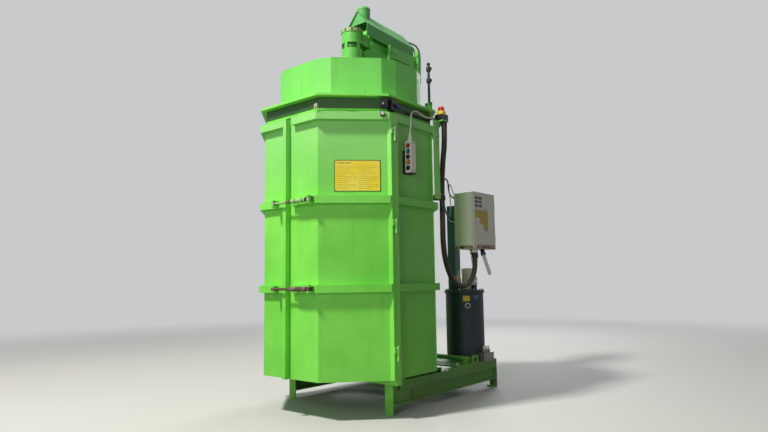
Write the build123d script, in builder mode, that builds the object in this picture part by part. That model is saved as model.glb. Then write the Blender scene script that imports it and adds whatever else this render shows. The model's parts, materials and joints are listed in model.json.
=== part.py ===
from build123d import *
import math
import os

os.makedirs("parts", exist_ok=True)

# Rotary press container in millimetres, +Z up, front toward -Y, standing on the floor.
# Every plan measure is set out from the chamber's upright axis, which stands at x = 0.

# Chamber: an eight-sided shell, measured over the sheet
chamber_width = 1044.0
chamber_depth = 1020.0
corner_cut = 285.0
wall = 4.0
chamber_foot = 220.0
chamber_top = 1756.0
floor_plate_thickness = 6.0
floor_gap = 3.0

# Bands: channels that stiffen the shell, open toward the sheet
band_proud = 30.0
band_height = 44.0
band_plate = 4.0
band_tops = (759.0, 1266.0, chamber_top)

# Doors and their hinges
seam_gap = 3.0
seam_bar_width = 28.0
seam_bar_proud = 34.0
seam_recess = 34.0
stile_depth = 22.0
door_gap = 3.0
post_depth = 35.0
hinge_axis_out = 10.0
barrel_radius = 8.0
leaf_thickness = 4.0
hinge_heights = (1630.0, 1090.0, 370.0)
hinge_length = 80.0
hinge_pin_radius = 4.0
pin_clearance = 0.3
knuckle_gap = 1.0

# Base: two folded legs under the chamber, tied by bearers and a tube
leg_outer = 450.0
leg_web = 60.0
leg_front = -120.0
leg_rear = 1090.0
leg_top = 190.0
leg_bottom = 55.0
leg_plate = 5.0
rail_height = 55.0
end_plate = 6.0
rear_foot_length = 46.0
rear_bearer_front = 300.0
rear_bearer_depth = 80.0
front_bearer_rear = -100.0
tie_tube_radius = 16.0
tie_tube_wall = 3.0
tie_tube_y = 730.0
tie_tube_z = 233.0
lug_plate = 8.0
lug_front = 748.0
lug_rear = 827.0
lug_bottom = 184.0
lug_height = 70.0
lug_hole_radius = 17.5

# Top frame, deck and collar
frame_gap = 16.0
frame_height = 90.0
frame_flange_proud = 28.0
frame_flange = 10.0
frame_web_recess = 6.0
frame_web = 6.0
deck_thickness = 6.0
collar_top = 2125.0
collar_half_width = 484.0
collar_half_depth = 452.0
collar_centre_y = 20.0
collar_cut = 291.0
collar_facet = 53.0
collar_wall = 4.0

# Mast: channel column, cheeks and the fork with the two arm pins
column_front = 600.0
column_width = 146.0
column_depth = 100.0
column_wall = 6.0
column_top = 2370.0
mast_top = 2490.0
cheek_inner = 105.0
cheek_plate = 12.0
post_outer = 138.0
cheek_front = 300.0
cheek_bottom = 2360.0
cheek_top = 2440.0
mast_post_front = 620.0
mast_post_rear = 680.0
mast_post_bottom = 2250.0
fork_plate = 12.0
fork_rear = 670.0
fork_ear_radius = 24.0
packer_front = 630.0
packer_top = 2400.0
port_block_half = 40.0
port_block_depth = 55.0
port_block_bottom = 2100.0
port_block_height = 40.0

# Arm: two parallel beams between the mast and the head, and the roof over them
mast_pin_y = 575.0
upper_pin_z = 2500.0
lower_pin_z = 2415.0
arm_length = 400.0
arm_pin_radius = 12.0
upper_beam_half = 50.0
upper_beam_height = 70.0
lower_beam_half = 70.0
lower_beam_height = 62.0
beam_wall = 5.0
running_clearance = 0.08
roof_half = 100.0
roof_front = 98.0
roof_rear = 622.0
roof_ridge = 2663.0
roof_slope_height = 121.0
roof_side_height = 87.0
roof_fall = 2.9
roof_sheet = 3.0
bulkhead_plate = 4.0
cap_radius = 46.0
cap_rise = 38.0
cap_y = 168.0

# Lift cylinder between the column and a lug under the lower beam
cylinder_foot_y = 650.0
cylinder_foot_z = 1620.0
lift_lug_y = 485.0
lift_lug_z = 2338.0
lift_lug_radius = 25.0
cylinder_radius = 40.0
cylinder_wall = 6.0
cylinder_length = 560.0
gland_length = 40.0
rod_radius = 20.0
rod_end_length = 40.0
rod_end_half = 10.0
piston_length = 30.0
lift_pin_radius = 12.0
lift_pin_slack = 5.0
lug_inner = 12.0
lug_thickness = 10.0
foot_eye_half = 19.5
sleeve_gap = 0.5

# Press head: flanged spindle housing with windows, and its two lugs for the arm
spindle_y = 45.0
housing_radius = 72.5
housing_wall = 8.0
housing_bottom = 1980.0
housing_top = 2470.0
head_flange_radius = 76.0
head_flange_thickness = 24.0
window_middle = 2372.0
window_height = 38.0
window_width = 65.0
window_count = 5
window_turn = -47.0
flange_slot_width = 12.0
flange_slot_depth = 5.0
bolt_count = 10
bolt_ring = 58.0
bolt_radius = 8.0
bolt_head = 7.0
head_lug_inner = 52.0
head_lug_plate = 10.0
fin_plate = 12.0
fin_rear = 160.0
fin_bottom = 2200.0
fin_top = 2370.0
fin_flange_half = 12.0

# Rotor: shaft with two bearings, hub and axle, and the toothed roller
shaft_radius = 30.0
shaft_top = 2464.0
bearing_length = 30.0
bearing_heights = (2050.0, 2357.0)
hub_radius = 55.0
hub_top = 1850.0
hub_bottom = 1620.0
roller_z = 1700.0
roller_inner = 70.0
roller_outer = 345.0
roller_radius = 128.0
roller_end = 12.0
roller_axle_radius = 18.0
tooth_height = 22.0
tooth_base = 30.0
tooth_rows = 8
tooth_gap = 18.0
tooth_gap_count = 3

# Hydraulic unit: tank on a ring, lid with filler, valve block
tank_x = 284.0
tank_y = 940.0
tank_radius = 138.0
tank_foot = 235.0
tank_top = 690.0
tank_rim = 8.0
tank_ring_radius = 120.0
lid_thickness = 14.0
filler_radius = 20.0
filler_height = 34.0
filler_place = (392.0, 905.0)
lid_block_place = (244.0, 910.0)
lid_block_width = 56.0
lid_block_depth = 90.0
lid_block_height = 45.0
pump_place = (325.0, 935.0)
pump_radius = 40.0
pump_fin = 9.0
pump_fin_count = 16
pump_fin_plate = 3.0
pump_foot = 18.0
pump_height = 156.0
block_front = 875.0
block_rear = 1010.0
block_left = 428.0
block_width = 50.0
block_height = 58.0

# Switch cabinet on a stand beside the tank
stand_x = 126.0
stand_y = 1054.0
stand_size = 68.0
stand_top = 1350.0
cabinet_left = 335.0
cabinet_right = 480.0
cabinet_front = 757.0
cabinet_rear = 1048.0
cabinet_bottom = 995.0
cabinet_top = 1400.0
cabinet_wall = 3.0
cabinet_door_gap = 1.0
cabinet_door_depth = 18.0
cabinet_barrel = 6.0
cabinet_hinges = (1080.0, 1315.0)
cabinet_hinge_length = 50.0
lock_y = 800.0
lock_z = 1200.0
lock_radius = 11.0

# Controls on the chamber's right side
guard_front = 200.0
guard_rear = 262.0
guard_bottom = 1290.0
shelf_top = 1800.0
shelf_plate = 5.0
estop_out = 13.0
estop_y = 280.0
estop_size = 66.0
estop_height = 40.0
estop_ring_radius = 29.0
estop_ring_height = 25.0
estop_stem_radius = 14.0
estop_head_radius = 21.0
estop_head_height = 24.0
estop_travel = 6.0
pole_x = 459.0
pole_y = 290.0
pole_radius = 8.0
pole_top = 2216.0
pole_bracket_width = 54.0
pole_bracket_height = 79.0
pendant_front = -60.0
pendant_rear = -15.0
pendant_bottom = 1420.0
pendant_height = 195.0
pendant_out = 48.0
pendant_neck = 20.0
holder_plate = 3.0
button_radius = 10.0
button_proud = 7.0
button_travel = 3.0
button_drop = 29.0
button_pitch = 34.0
button_count = 5
switch_front = -215.0
switch_rear = -165.0
switch_bottom = 1776.0
switch_top = 1838.0
switch_depth = 34.0

# Latches: a turnbuckle across the seam on the two lower bands
latch_pivot_inset = 15.0
latch_catch_x = -85.0
latch_out = 27.0
latch_rod_radius = 7.0
latch_tube_radius = 14.0
latch_tube_start = 85.0
latch_tube_length = 110.0
latch_eye_radius = 13.0
latch_eye_half = 10.0
latch_pin_radius = 6.0
latch_ear = 6.0
latch_ear_gap = 3.0
latch_ear_half = 15.0

# The machine's middle in depth, from the latches' front to the legs' rear, is the model's y = 0
latch_front = -(chamber_depth / 2 + band_proud + latch_out + latch_ear_half)
chamber_y = -(latch_front + leg_rear) / 2


def level(z):
    # A horizontal plane at height z, centred on the chamber's axis
    return Plane((0, chamber_y, z))


def side(x):
    # An upright plane across the machine at x: its own x runs to the rear, its own y up
    return Plane(origin=(x, chamber_y, 0), x_dir=(0, 1, 0), z_dir=(1, 0, 0))


def front(y):
    # An upright plane that faces the front at y: its own x runs to the right, its own y up
    return Plane(origin=(0, chamber_y + y, 0), x_dir=(1, 0, 0), z_dir=(0, -1, 0))


def outline(grow):
    # The chamber's eight corners in plan, pushed out by grow, from the front face's right end
    half_x = chamber_width / 2 + grow
    half_y = chamber_depth / 2 + grow
    slant = (chamber_width + chamber_depth) / 2 - corner_cut + grow * math.sqrt(2)
    return [
        (slant - half_y, -half_y),
        (half_x, half_x - slant),
        (half_x, slant - half_x),
        (slant - half_y, half_y),
        (half_y - slant, half_y),
        (-half_x, slant - half_x),
        (-half_x, half_x - slant),
        (half_y - slant, -half_y),
    ]


def mirrored(points, sign):
    return [(sign * x, y) for x, y in points]


def plan_section(points, z):
    with BuildSketch(level(z)) as plan:
        Polygon(*points)
    return plan.sketch


def hollow_band(outer, inner, top):
    # One channel band: the full section, then its inside, open toward the sheet
    extrude(plan_section(outer, top - band_height), amount=band_height)
    hollow = plan_section(inner, top - band_height + band_plate)
    extrude(hollow, amount=band_height - 2 * band_plate, mode=Mode.SUBTRACT)


def sector(i, inner, outer):
    # The mitred strip of side i between two outlines
    near = outline(inner)
    far = outline(outer)
    j = (i + 1) % 8
    return [near[i], far[i], far[j], near[j]]


# What the shell's size carries along: hinges, latch pivots and the controls on the right side
hinge_x = chamber_width / 2 + band_proud + hinge_axis_out
latch_pivot_x = outline(0)[0][0] - latch_pivot_inset
wall_face = chamber_width / 2
band_face = wall_face + band_proud
estop_x = band_face + estop_out
pendant_right = wall_face + pendant_out
pendant_top = pendant_bottom + pendant_height
post_front = outline(0)[1][1] + stile_depth + door_gap
hinge_y = post_front - door_gap / 2
shell_height = chamber_top - chamber_foot

neck_plate = 6.0
neck_overlap = 40.0
neck_height = frame_gap + neck_overlap


def add_neck(points):
    # The strip inside the sheet that carries the top frame over the shadow gap
    extrude(plan_section(points, chamber_top - neck_overlap), amount=neck_height)


# Shell: three rear plates, then a plate on each side from the hinge post to the rear corner
for name, i in (("wall_corner_right", 2), ("wall_rear", 3), ("wall_corner_left", 4)):
    with BuildPart() as shell_plate:
        extrude(plan_section(sector(i, -wall, 0), chamber_foot), amount=shell_height)
        for top in band_tops:
            hollow_band(sector(i, 0, band_proud), sector(i, 0, band_proud - band_plate), top)
        add_neck(sector(i, -wall - neck_plate, -wall))
    shell_plate.part.label = name
    export_step(shell_plate.part, f"parts/{name}.step")

for name, sign in (("wall_side_right", 1), ("wall_side_left", -1)):
    band_start = post_front + post_depth
    skin = [
        (chamber_width / 2 - wall, post_front),
        (chamber_width / 2, post_front),
        outline(0)[2],
        outline(-wall)[2],
    ]
    with BuildPart() as side_plate:
        extrude(plan_section(mirrored(skin, sign), chamber_foot), amount=shell_height)
        for top in band_tops:
            outer = [
                (chamber_width / 2, band_start),
                (chamber_width / 2 + band_proud, band_start),
                outline(band_proud)[2],
                outline(0)[2],
            ]
            inner = [
                (chamber_width / 2, band_start),
                (chamber_width / 2 + band_proud - band_plate, band_start),
                outline(band_proud - band_plate)[2],
                outline(0)[2],
            ]
            hollow_band(mirrored(outer, sign), mirrored(inner, sign), top)
        neck = [
            (chamber_width / 2 - wall - neck_plate, post_front),
            (chamber_width / 2 - wall, post_front),
            outline(-wall)[2],
            outline(-wall - neck_plate)[2],
        ]
        add_neck(mirrored(neck, sign))
    side_plate.part.label = name
    export_step(side_plate.part, f"parts/{name}.step")

# Hinge posts: square tubes beside the doors, with the lower knuckles and their pins
post_foot = leg_top
for name, sign in (("hinge_post_right", 1), ("hinge_post_left", -1)):
    post_x = sign * (chamber_width / 2 + band_proud / 2)
    leaf_x = sign * (chamber_width / 2 + band_proud + leaf_thickness / 2)
    with BuildPart() as post:
        with BuildSketch(level(post_foot)):
            with Locations((post_x, post_front + post_depth / 2)):
                Rectangle(band_proud, post_depth)
                Rectangle(band_proud - 2 * band_plate, post_depth - 2 * band_plate, mode=Mode.SUBTRACT)
        extrude(amount=chamber_top - post_foot)
        for middle in hinge_heights:
            knuckle = hinge_length / 2 - knuckle_gap / 2
            with BuildSketch(level(middle - hinge_length / 2)):
                with Locations((sign * hinge_x, hinge_y)):
                    Circle(barrel_radius)
                with Locations((leaf_x, (hinge_y + post_front + post_depth) / 2)):
                    Rectangle(leaf_thickness, post_front + post_depth - hinge_y)
                with Locations((sign * (hinge_x - hinge_axis_out / 2), hinge_y + barrel_radius / 2)):
                    Rectangle(hinge_axis_out, barrel_radius)
            extrude(amount=knuckle)
            with BuildSketch(level(middle - knuckle_gap / 2)):
                with Locations((sign * hinge_x, hinge_y)):
                    Circle(hinge_pin_radius)
            extrude(amount=hinge_length / 2)
    post.part.label = name
    export_step(post.part, f"parts/{name}.step")

# Doors: a front and a corner plate on each side, the latch ears and the upper knuckles
latch_heights = (band_tops[0] - band_height / 2, band_tops[1] - band_height / 2)
latch_y = -(chamber_depth / 2 + band_proud + latch_out)
ear_start = -(chamber_depth / 2 + band_proud)
ear_depth = ear_start - latch_y + latch_ear_half
for name, sign in (("door_right_front", 1), ("door_left_front", -1)):
    edge = seam_gap / 2
    band_edge = edge + (seam_recess if sign > 0 else seam_bar_width)
    face_y = -chamber_depth / 2
    skin = [(edge, face_y + wall), (edge, face_y), outline(0)[0], outline(-wall)[0]]
    outer = [(band_edge, face_y), (band_edge, face_y - band_proud), outline(band_proud)[0], outline(0)[0]]
    inner_line = band_proud - band_plate
    inner = [(band_edge, face_y), (band_edge, face_y - inner_line), outline(inner_line)[0], outline(0)[0]]
    ear_x = latch_pivot_x if sign > 0 else latch_catch_x
    with BuildPart() as door_front:
        extrude(plan_section(mirrored(skin, sign), chamber_foot), amount=shell_height)
        for top in band_tops:
            hollow_band(mirrored(outer, sign), mirrored(inner, sign), top)
        if sign < 0:
            bar_x = -(edge + seam_bar_width / 2)
            with BuildSketch(level(chamber_foot)):
                with Locations((bar_x, face_y - seam_bar_proud / 2)):
                    Rectangle(seam_bar_width, seam_bar_proud)
                    Rectangle(seam_bar_width - 2 * wall, seam_bar_proud - 2 * wall, mode=Mode.SUBTRACT)
            extrude(amount=shell_height)
        for height in latch_heights:
            for way in (1, -1):
                ear_z = height + way * (latch_eye_half + latch_ear_gap)
                with BuildSketch(level(ear_z)):
                    with Locations((ear_x, ear_start - (ear_depth - latch_ear_half) / 2)):
                        Rectangle(2 * latch_ear_half, ear_depth - latch_ear_half)
                    with Locations((ear_x, latch_y)):
                        Circle(latch_ear_half)
                extrude(amount=way * latch_ear)
                with BuildSketch(level(ear_z + way * latch_ear)):
                    with Locations((ear_x, latch_y)):
                        Circle(latch_pin_radius + 3)
                extrude(amount=way * 4)
            if sign > 0:
                with BuildSketch(level(height)):
                    with Locations((ear_x, latch_y)):
                        Circle(latch_pin_radius)
                extrude(amount=latch_eye_half + latch_ear_gap + latch_ear, both=True)
    door_front.part.label = name
    export_step(door_front.part, f"parts/{name}.step")

for name, sign in (("door_right_corner", 1), ("door_left_corner", -1)):
    stile_front = outline(0)[1][1]
    half = chamber_width / 2
    outer = [outline(0)[0], outline(band_proud)[0], outline(band_proud)[1], (half + band_proud, stile_front),
             outline(0)[1]]
    inner_line = band_proud - band_plate
    inner = [outline(0)[0], outline(inner_line)[0], outline(inner_line)[1],
             (half + inner_line, stile_front), outline(0)[1]]
    leaf_x = sign * (half + band_proud + leaf_thickness / 2)
    with BuildPart() as door_corner:
        extrude(plan_section(mirrored(sector(0, -wall, 0), sign), chamber_foot), amount=shell_height)
        for top in band_tops:
            hollow_band(mirrored(outer, sign), mirrored(inner, sign), top)
        with BuildSketch(level(chamber_foot)):
            with Locations((sign * (half + band_proud / 2), stile_front + stile_depth / 2)):
                Rectangle(band_proud, stile_depth)
                Rectangle(band_proud - 2 * wall, stile_depth - 2 * wall, mode=Mode.SUBTRACT)
        extrude(amount=shell_height)
        with BuildSketch(level(chamber_foot)):
            with Locations((sign * (half - wall / 2), stile_front + stile_depth / 2)):
                Rectangle(wall, stile_depth)
        extrude(amount=shell_height)
        for middle in hinge_heights:
            with BuildSketch(level(middle + knuckle_gap / 2)):
                with Locations((sign * hinge_x, hinge_y)):
                    Circle(barrel_radius)
                with Locations((leaf_x, (hinge_y + stile_front) / 2)):
                    Rectangle(leaf_thickness, hinge_y - stile_front)
                with Locations((sign * (hinge_x - hinge_axis_out / 2), hinge_y - barrel_radius / 2)):
                    Rectangle(hinge_axis_out, barrel_radius)
                with Locations((sign * hinge_x, hinge_y)):
                    Circle(hinge_pin_radius + pin_clearance, mode=Mode.SUBTRACT)
            extrude(amount=hinge_length / 2 - knuckle_gap / 2)
    door_corner.part.label = name
    export_step(door_corner.part, f"parts/{name}.step")

# Latches: eye, rod, turnbuckle tube and the eye round the pivot pin
for name, height in (("latch_lower", latch_heights[0]), ("latch_upper", latch_heights[1])):
    latch_middle = Plane(origin=(0, chamber_y + latch_y, height), x_dir=(0, 1, 0), z_dir=(1, 0, 0))
    with BuildPart() as latch:
        with BuildSketch(level(height)):
            with Locations((latch_pivot_x, latch_y), (latch_catch_x, latch_y)):
                Circle(latch_eye_radius)
        extrude(amount=latch_eye_half, both=True)
        with BuildSketch(latch_middle.offset(latch_catch_x)):
            Circle(latch_rod_radius)
        extrude(amount=latch_pivot_x - latch_catch_x)
        with BuildSketch(latch_middle.offset(latch_tube_start)):
            Circle(latch_tube_radius)
        extrude(amount=latch_tube_length)
        with BuildSketch(latch_middle.offset(latch_tube_start - 12)):
            RegularPolygon(latch_tube_radius - 1, 6)
        extrude(amount=12)
        with BuildSketch(level(height)):
            with Locations((latch_pivot_x, latch_y)):
                Circle(latch_pin_radius + pin_clearance)
            with Locations((latch_catch_x, latch_y)):
                Circle(latch_pin_radius + 1)
        extrude(amount=latch_eye_half, both=True, mode=Mode.SUBTRACT)
    latch.part.label = name
    export_step(latch.part, f"parts/{name}.step")

# Legs: folded rail above a recessed web and a flange, end plates, and a lug plate outside
rail_start = -50.0
rear_plate_start = leg_rear - end_plate
for name, sign in (("leg_right", 1), ("leg_left", -1)):
    leg_middle = sign * (leg_outer - leg_web / 2)
    web_x = sign * (leg_outer - leg_web / 3)
    with BuildPart() as leg:
        with BuildSketch(front(leg_front + end_plate)):
            with Locations((web_x, (leg_top + leg_bottom) / 2)):
                Rectangle(leg_plate, leg_top - leg_bottom)
            with Locations((leg_middle, leg_bottom + leg_plate)):
                Rectangle(leg_web, 2 * leg_plate)
        extrude(amount=-(rear_plate_start - leg_front - end_plate))
        with BuildSketch(front(rail_start)):
            with Locations((leg_middle, leg_top - rail_height / 2)):
                Rectangle(leg_web, rail_height)
                Rectangle(leg_web - 2 * leg_plate, rail_height - 2 * leg_plate, mode=Mode.SUBTRACT)
        extrude(amount=-(rear_plate_start - rail_start))
        with BuildSketch(front(leg_front), front(rear_plate_start)):
            with Locations((leg_middle, leg_top / 2)):
                Rectangle(leg_web, leg_top)
        extrude(amount=-end_plate)
        with BuildSketch(level(0)):
            with Locations((leg_middle, leg_rear - rear_foot_length / 2)):
                Rectangle(leg_web, rear_foot_length)
        extrude(amount=2 * end_plate)
        with BuildSketch(side(sign * leg_outer)):
            with Locations(((lug_front + lug_rear) / 2, lug_bottom + lug_height / 2)):
                RectangleRounded(lug_rear - lug_front, lug_height, lug_plate)
                Circle(lug_hole_radius, mode=Mode.SUBTRACT)
        extrude(amount=sign * lug_plate)
    leg.part.label = name
    export_step(leg.part, f"parts/{name}.step")

# Bearers across the legs, folded down at both long edges
bearer_height = chamber_foot - leg_top
bearer_plate = 5.0
for name, start, end, half in (
    ("bearer_front", post_front, front_bearer_rear, chamber_width / 2),
    ("bearer_rear", rear_bearer_front, rear_bearer_front + rear_bearer_depth, leg_outer),
):
    with BuildPart() as bearer:
        with BuildSketch(side(-half)):
            with Locations(((start + end) / 2, chamber_foot - bearer_height / 2)):
                Rectangle(end - start, bearer_height)
            with Locations(((start + end) / 2, leg_top + (bearer_height - bearer_plate) / 2)):
                Rectangle(end - start - 2 * bearer_plate, bearer_height - bearer_plate, mode=Mode.SUBTRACT)
        extrude(amount=2 * half)
    bearer.part.label = name
    export_step(bearer.part, f"parts/{name}.step")

# Base plate on the legs' rear ends, for the mast and the hydraulic unit
base_plate_front = 590.0
base_plate_thickness = 10.0
base_top = leg_top + base_plate_thickness
with BuildPart() as base_plate:
    with BuildSketch(level(leg_top)):
        with Locations((0, (base_plate_front + leg_rear) / 2)):
            Rectangle(2 * leg_outer, leg_rear - base_plate_front)
    extrude(amount=base_plate_thickness)
base_plate.part.label = "base_plate"
export_step(base_plate.part, "parts/base_plate.step")

# Tie tube across the legs on two saddles
saddle_width = 36.0
saddle_length = 40.0
with BuildPart() as tie_tube:
    with BuildSketch(side(-leg_outer)):
        with Locations((tie_tube_y, tie_tube_z)):
            Circle(tie_tube_radius)
    extrude(amount=2 * leg_outer)
    for sign in (1, -1):
        with BuildSketch(level(base_top)):
            with Locations((sign * (leg_outer - leg_web / 2), tie_tube_y)):
                Rectangle(saddle_width, saddle_length)
        extrude(amount=tie_tube_z - base_top)
    with BuildSketch(side(-leg_outer)):
        with Locations((tie_tube_y, tie_tube_z)):
            Circle(tie_tube_radius - tie_tube_wall)
    extrude(amount=2 * leg_outer, mode=Mode.SUBTRACT)
tie_tube.part.label = "tie_tube"
export_step(tie_tube.part, "parts/tie_tube.step")

# Chamber floor: a plate inside the shell, on the bearers
with BuildPart() as floor_plate:
    extrude(plan_section(outline(-wall - floor_gap), chamber_foot), amount=floor_plate_thickness)
floor_plate.part.label = "floor_plate"
export_step(floor_plate.part, "parts/floor_plate.step")


def collar_section(z, shrink):
    # The collar in plan: a rectangle with cut corners, each of its eight corners cut again
    with BuildSketch(level(z)) as plan:
        with Locations((0, collar_centre_y)):
            Rectangle(2 * collar_half_width, 2 * collar_half_depth)
        chamfer(plan.vertices(), collar_cut)
        chamfer(plan.vertices(), collar_facet)
        if shrink:
            offset(amount=-shrink, kind=Kind.INTERSECTION, mode=Mode.REPLACE)
    return plan.sketch


# Top frame: an angle ring with a recessed web over the shadow gap
frame_bottom = chamber_top + frame_gap
frame_top = frame_bottom + frame_height
with BuildPart() as top_frame:
    web_height = frame_height - frame_flange
    web_inside = outline(-frame_web_recess - frame_web)
    extrude(plan_section(outline(-frame_web_recess), frame_bottom), amount=web_height)
    extrude(plan_section(outline(frame_flange_proud), frame_top - frame_flange), amount=frame_flange)
    extrude(plan_section(web_inside, frame_bottom), amount=frame_height, mode=Mode.SUBTRACT)
top_frame.part.label = "top_frame"
export_step(top_frame.part, "parts/top_frame.step")

with BuildPart() as deck_plate:
    extrude(plan_section(outline(frame_flange_proud - 4), frame_top), amount=deck_thickness)
    extrude(collar_section(frame_top, collar_wall), amount=deck_thickness, mode=Mode.SUBTRACT)
deck_plate.part.label = "deck_plate"
export_step(deck_plate.part, "parts/deck_plate.step")

deck_top = frame_top + deck_thickness
with BuildPart() as collar:
    extrude(collar_section(deck_top, 0), amount=collar_top - deck_top)
    extrude(collar_section(deck_top, collar_wall), amount=collar_top - deck_top, mode=Mode.SUBTRACT)
collar.part.label = "collar"
export_step(collar.part, "parts/collar.step")

# Mast column: a channel open to the front, the cylinder's foot pin with its spacer sleeves,
# and the port block for the arm's hoses
column_rear = column_front + column_depth
column_inside = column_width / 2 - column_wall
with BuildPart() as mast_column:
    with BuildSketch(level(base_top)):
        with Locations((0, column_front + column_depth / 2)):
            Rectangle(column_width, column_depth)
        with Locations((0, column_front + (column_depth - column_wall) / 2)):
            Rectangle(2 * column_inside, column_depth - column_wall, mode=Mode.SUBTRACT)
    extrude(amount=column_top - base_top)
    for sign in (1, -1):
        with BuildSketch(side(sign * (foot_eye_half + sleeve_gap))):
            with Locations((cylinder_foot_y, cylinder_foot_z)):
                Circle(1.6 * lift_pin_radius)
        extrude(amount=sign * (column_inside - foot_eye_half - sleeve_gap))
    with BuildSketch(side(0)):
        with Locations((cylinder_foot_y, cylinder_foot_z)):
            Circle(lift_pin_radius)
    extrude(amount=column_inside, both=True)
    with BuildSketch(level(port_block_bottom)):
        with Locations((0, column_rear + port_block_depth / 2)):
            Rectangle(2 * port_block_half, port_block_depth)
    extrude(amount=port_block_height)
mast_column.part.label = "mast_column"
export_step(mast_column.part, "parts/mast_column.step")

# Mast cheeks: a web with a nose to the front, flanges at its front edges and a packer to the fork
nose_flange_width = 25.0
nose_flange_drop = 25.0
fork_inner = column_width / 2
for name, sign in (("mast_cheek_right", 1), ("mast_cheek_left", -1)):
    flange_width = post_outer - cheek_inner
    with BuildPart() as mast_cheek:
        with BuildSketch(side(sign * cheek_inner)):
            Polygon(
                (cheek_front, cheek_bottom),
                (cheek_front, cheek_top),
                (mast_post_front, cheek_top),
                (mast_post_front, mast_top),
                (mast_post_rear, mast_top),
                (mast_post_rear, mast_post_bottom),
                (mast_post_front, mast_post_bottom),
                (mast_post_front - (cheek_top - cheek_bottom), cheek_bottom),
            )
        extrude(amount=sign * cheek_plate)
        with BuildSketch(level(mast_post_bottom)):
            with Locations((sign * (cheek_inner + flange_width / 2), mast_post_front + cheek_plate / 2)):
                Rectangle(flange_width, cheek_plate)
        extrude(amount=mast_top - mast_post_bottom)
        with BuildSketch(level(cheek_bottom - nose_flange_drop)):
            with Locations((sign * (cheek_inner + nose_flange_width / 2), cheek_front + cheek_plate / 2)):
                Rectangle(nose_flange_width, cheek_plate)
        extrude(amount=cheek_top - cheek_bottom + nose_flange_drop)
        with BuildSketch(side(sign * (fork_inner + fork_plate))):
            with Locations(((packer_front + fork_rear) / 2, (mast_post_bottom + packer_top) / 2)):
                Rectangle(fork_rear - packer_front, packer_top - mast_post_bottom)
        extrude(amount=sign * (cheek_inner - fork_inner - fork_plate))
    mast_cheek.part.label = name
    export_step(mast_cheek.part, f"parts/{name}.step")

# Fork on the column's sides with the two arm pins
ear_front = mast_pin_y - fork_ear_radius
ear_rear = mast_pin_y + fork_ear_radius
with BuildPart() as mast_fork:
    for sign in (1, -1):
        with BuildSketch(side(sign * fork_inner)):
            Polygon(
                (ear_front, upper_pin_z),
                (ear_front, lower_pin_z - fork_ear_radius),
                (column_front, mast_post_bottom),
                (fork_rear, mast_post_bottom),
                (fork_rear, lower_pin_z),
                (ear_rear, upper_pin_z),
            )
            with Locations((mast_pin_y, upper_pin_z)):
                Circle(fork_ear_radius)
        extrude(amount=sign * fork_plate)
    for pin_z in (lower_pin_z, upper_pin_z):
        with BuildSketch(side(0)):
            with Locations((mast_pin_y, pin_z)):
                Circle(arm_pin_radius)
        extrude(amount=fork_inner + fork_plate, both=True)
mast_fork.part.label = "mast_fork"
export_step(mast_fork.part, "parts/mast_fork.step")

# Arm: box beam above, open channel below, both on bored bosses
arm_middle = mast_pin_y - arm_length / 2
head_pin_y = mast_pin_y - arm_length
boss_half = fork_inner - 0.3
boss_radius = 22.0
with BuildPart() as upper_beam:
    with BuildSketch(side(0)):
        with Locations((arm_middle, upper_pin_z)):
            SlotCenterToCenter(arm_length, upper_beam_height)
    extrude(amount=upper_beam_half, both=True)
    with BuildSketch(side(0)):
        with Locations((arm_middle, upper_pin_z)):
            Rectangle(arm_length - 3 * boss_radius, upper_beam_height - 2 * beam_wall)
    extrude(amount=upper_beam_half - beam_wall, both=True, mode=Mode.SUBTRACT)
    with BuildSketch(side(0)):
        with Locations((mast_pin_y, upper_pin_z)):
            Circle(boss_radius)
    extrude(amount=boss_half, both=True)
    with BuildSketch(side(0)):
        with Locations((mast_pin_y, upper_pin_z), (head_pin_y, upper_pin_z)):
            Circle(arm_pin_radius + running_clearance)
    extrude(amount=boss_half, both=True, mode=Mode.SUBTRACT)
upper_beam.part.label = "upper_beam"
export_step(upper_beam.part, "parts/upper_beam.step")

lift_lug_top = lower_pin_z - lower_beam_height / 2 + beam_wall / 2
with BuildPart() as lower_beam:
    with BuildSketch(side(0)):
        with Locations((arm_middle, lower_pin_z)):
            SlotCenterToCenter(arm_length, lower_beam_height)
    extrude(amount=lower_beam_half, both=True)
    with BuildSketch(side(0)):
        with Locations((arm_middle, lower_pin_z + beam_wall)):
            Rectangle(arm_length + lower_beam_height, lower_beam_height)
    extrude(amount=lower_beam_half - beam_wall, both=True, mode=Mode.SUBTRACT)
    for sign in (1, -1):
        with BuildSketch(side(sign * boss_half)):
            with Locations((mast_pin_y, lower_pin_z)):
                Circle(boss_radius)
        extrude(amount=-sign * (boss_half - head_lug_inner))
        with BuildSketch(side(sign * lug_inner)):
            with Locations((lift_lug_y, (lift_lug_z + lift_lug_top) / 2)):
                Rectangle(2 * lift_lug_radius, lift_lug_top - lift_lug_z)
            with Locations((lift_lug_y, lift_lug_z)):
                Circle(lift_lug_radius)
            with Locations((lift_lug_y, lift_lug_z)):
                Circle(lift_pin_radius + lift_pin_slack, mode=Mode.SUBTRACT)
        extrude(amount=sign * lug_thickness)
    with BuildSketch(side(0)):
        with Locations((mast_pin_y, lower_pin_z), (head_pin_y, lower_pin_z)):
            Circle(arm_pin_radius + running_clearance)
    extrude(amount=boss_half, both=True, mode=Mode.SUBTRACT)
lower_beam.part.label = "lower_beam"
export_step(lower_beam.part, "parts/lower_beam.step")

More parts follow.
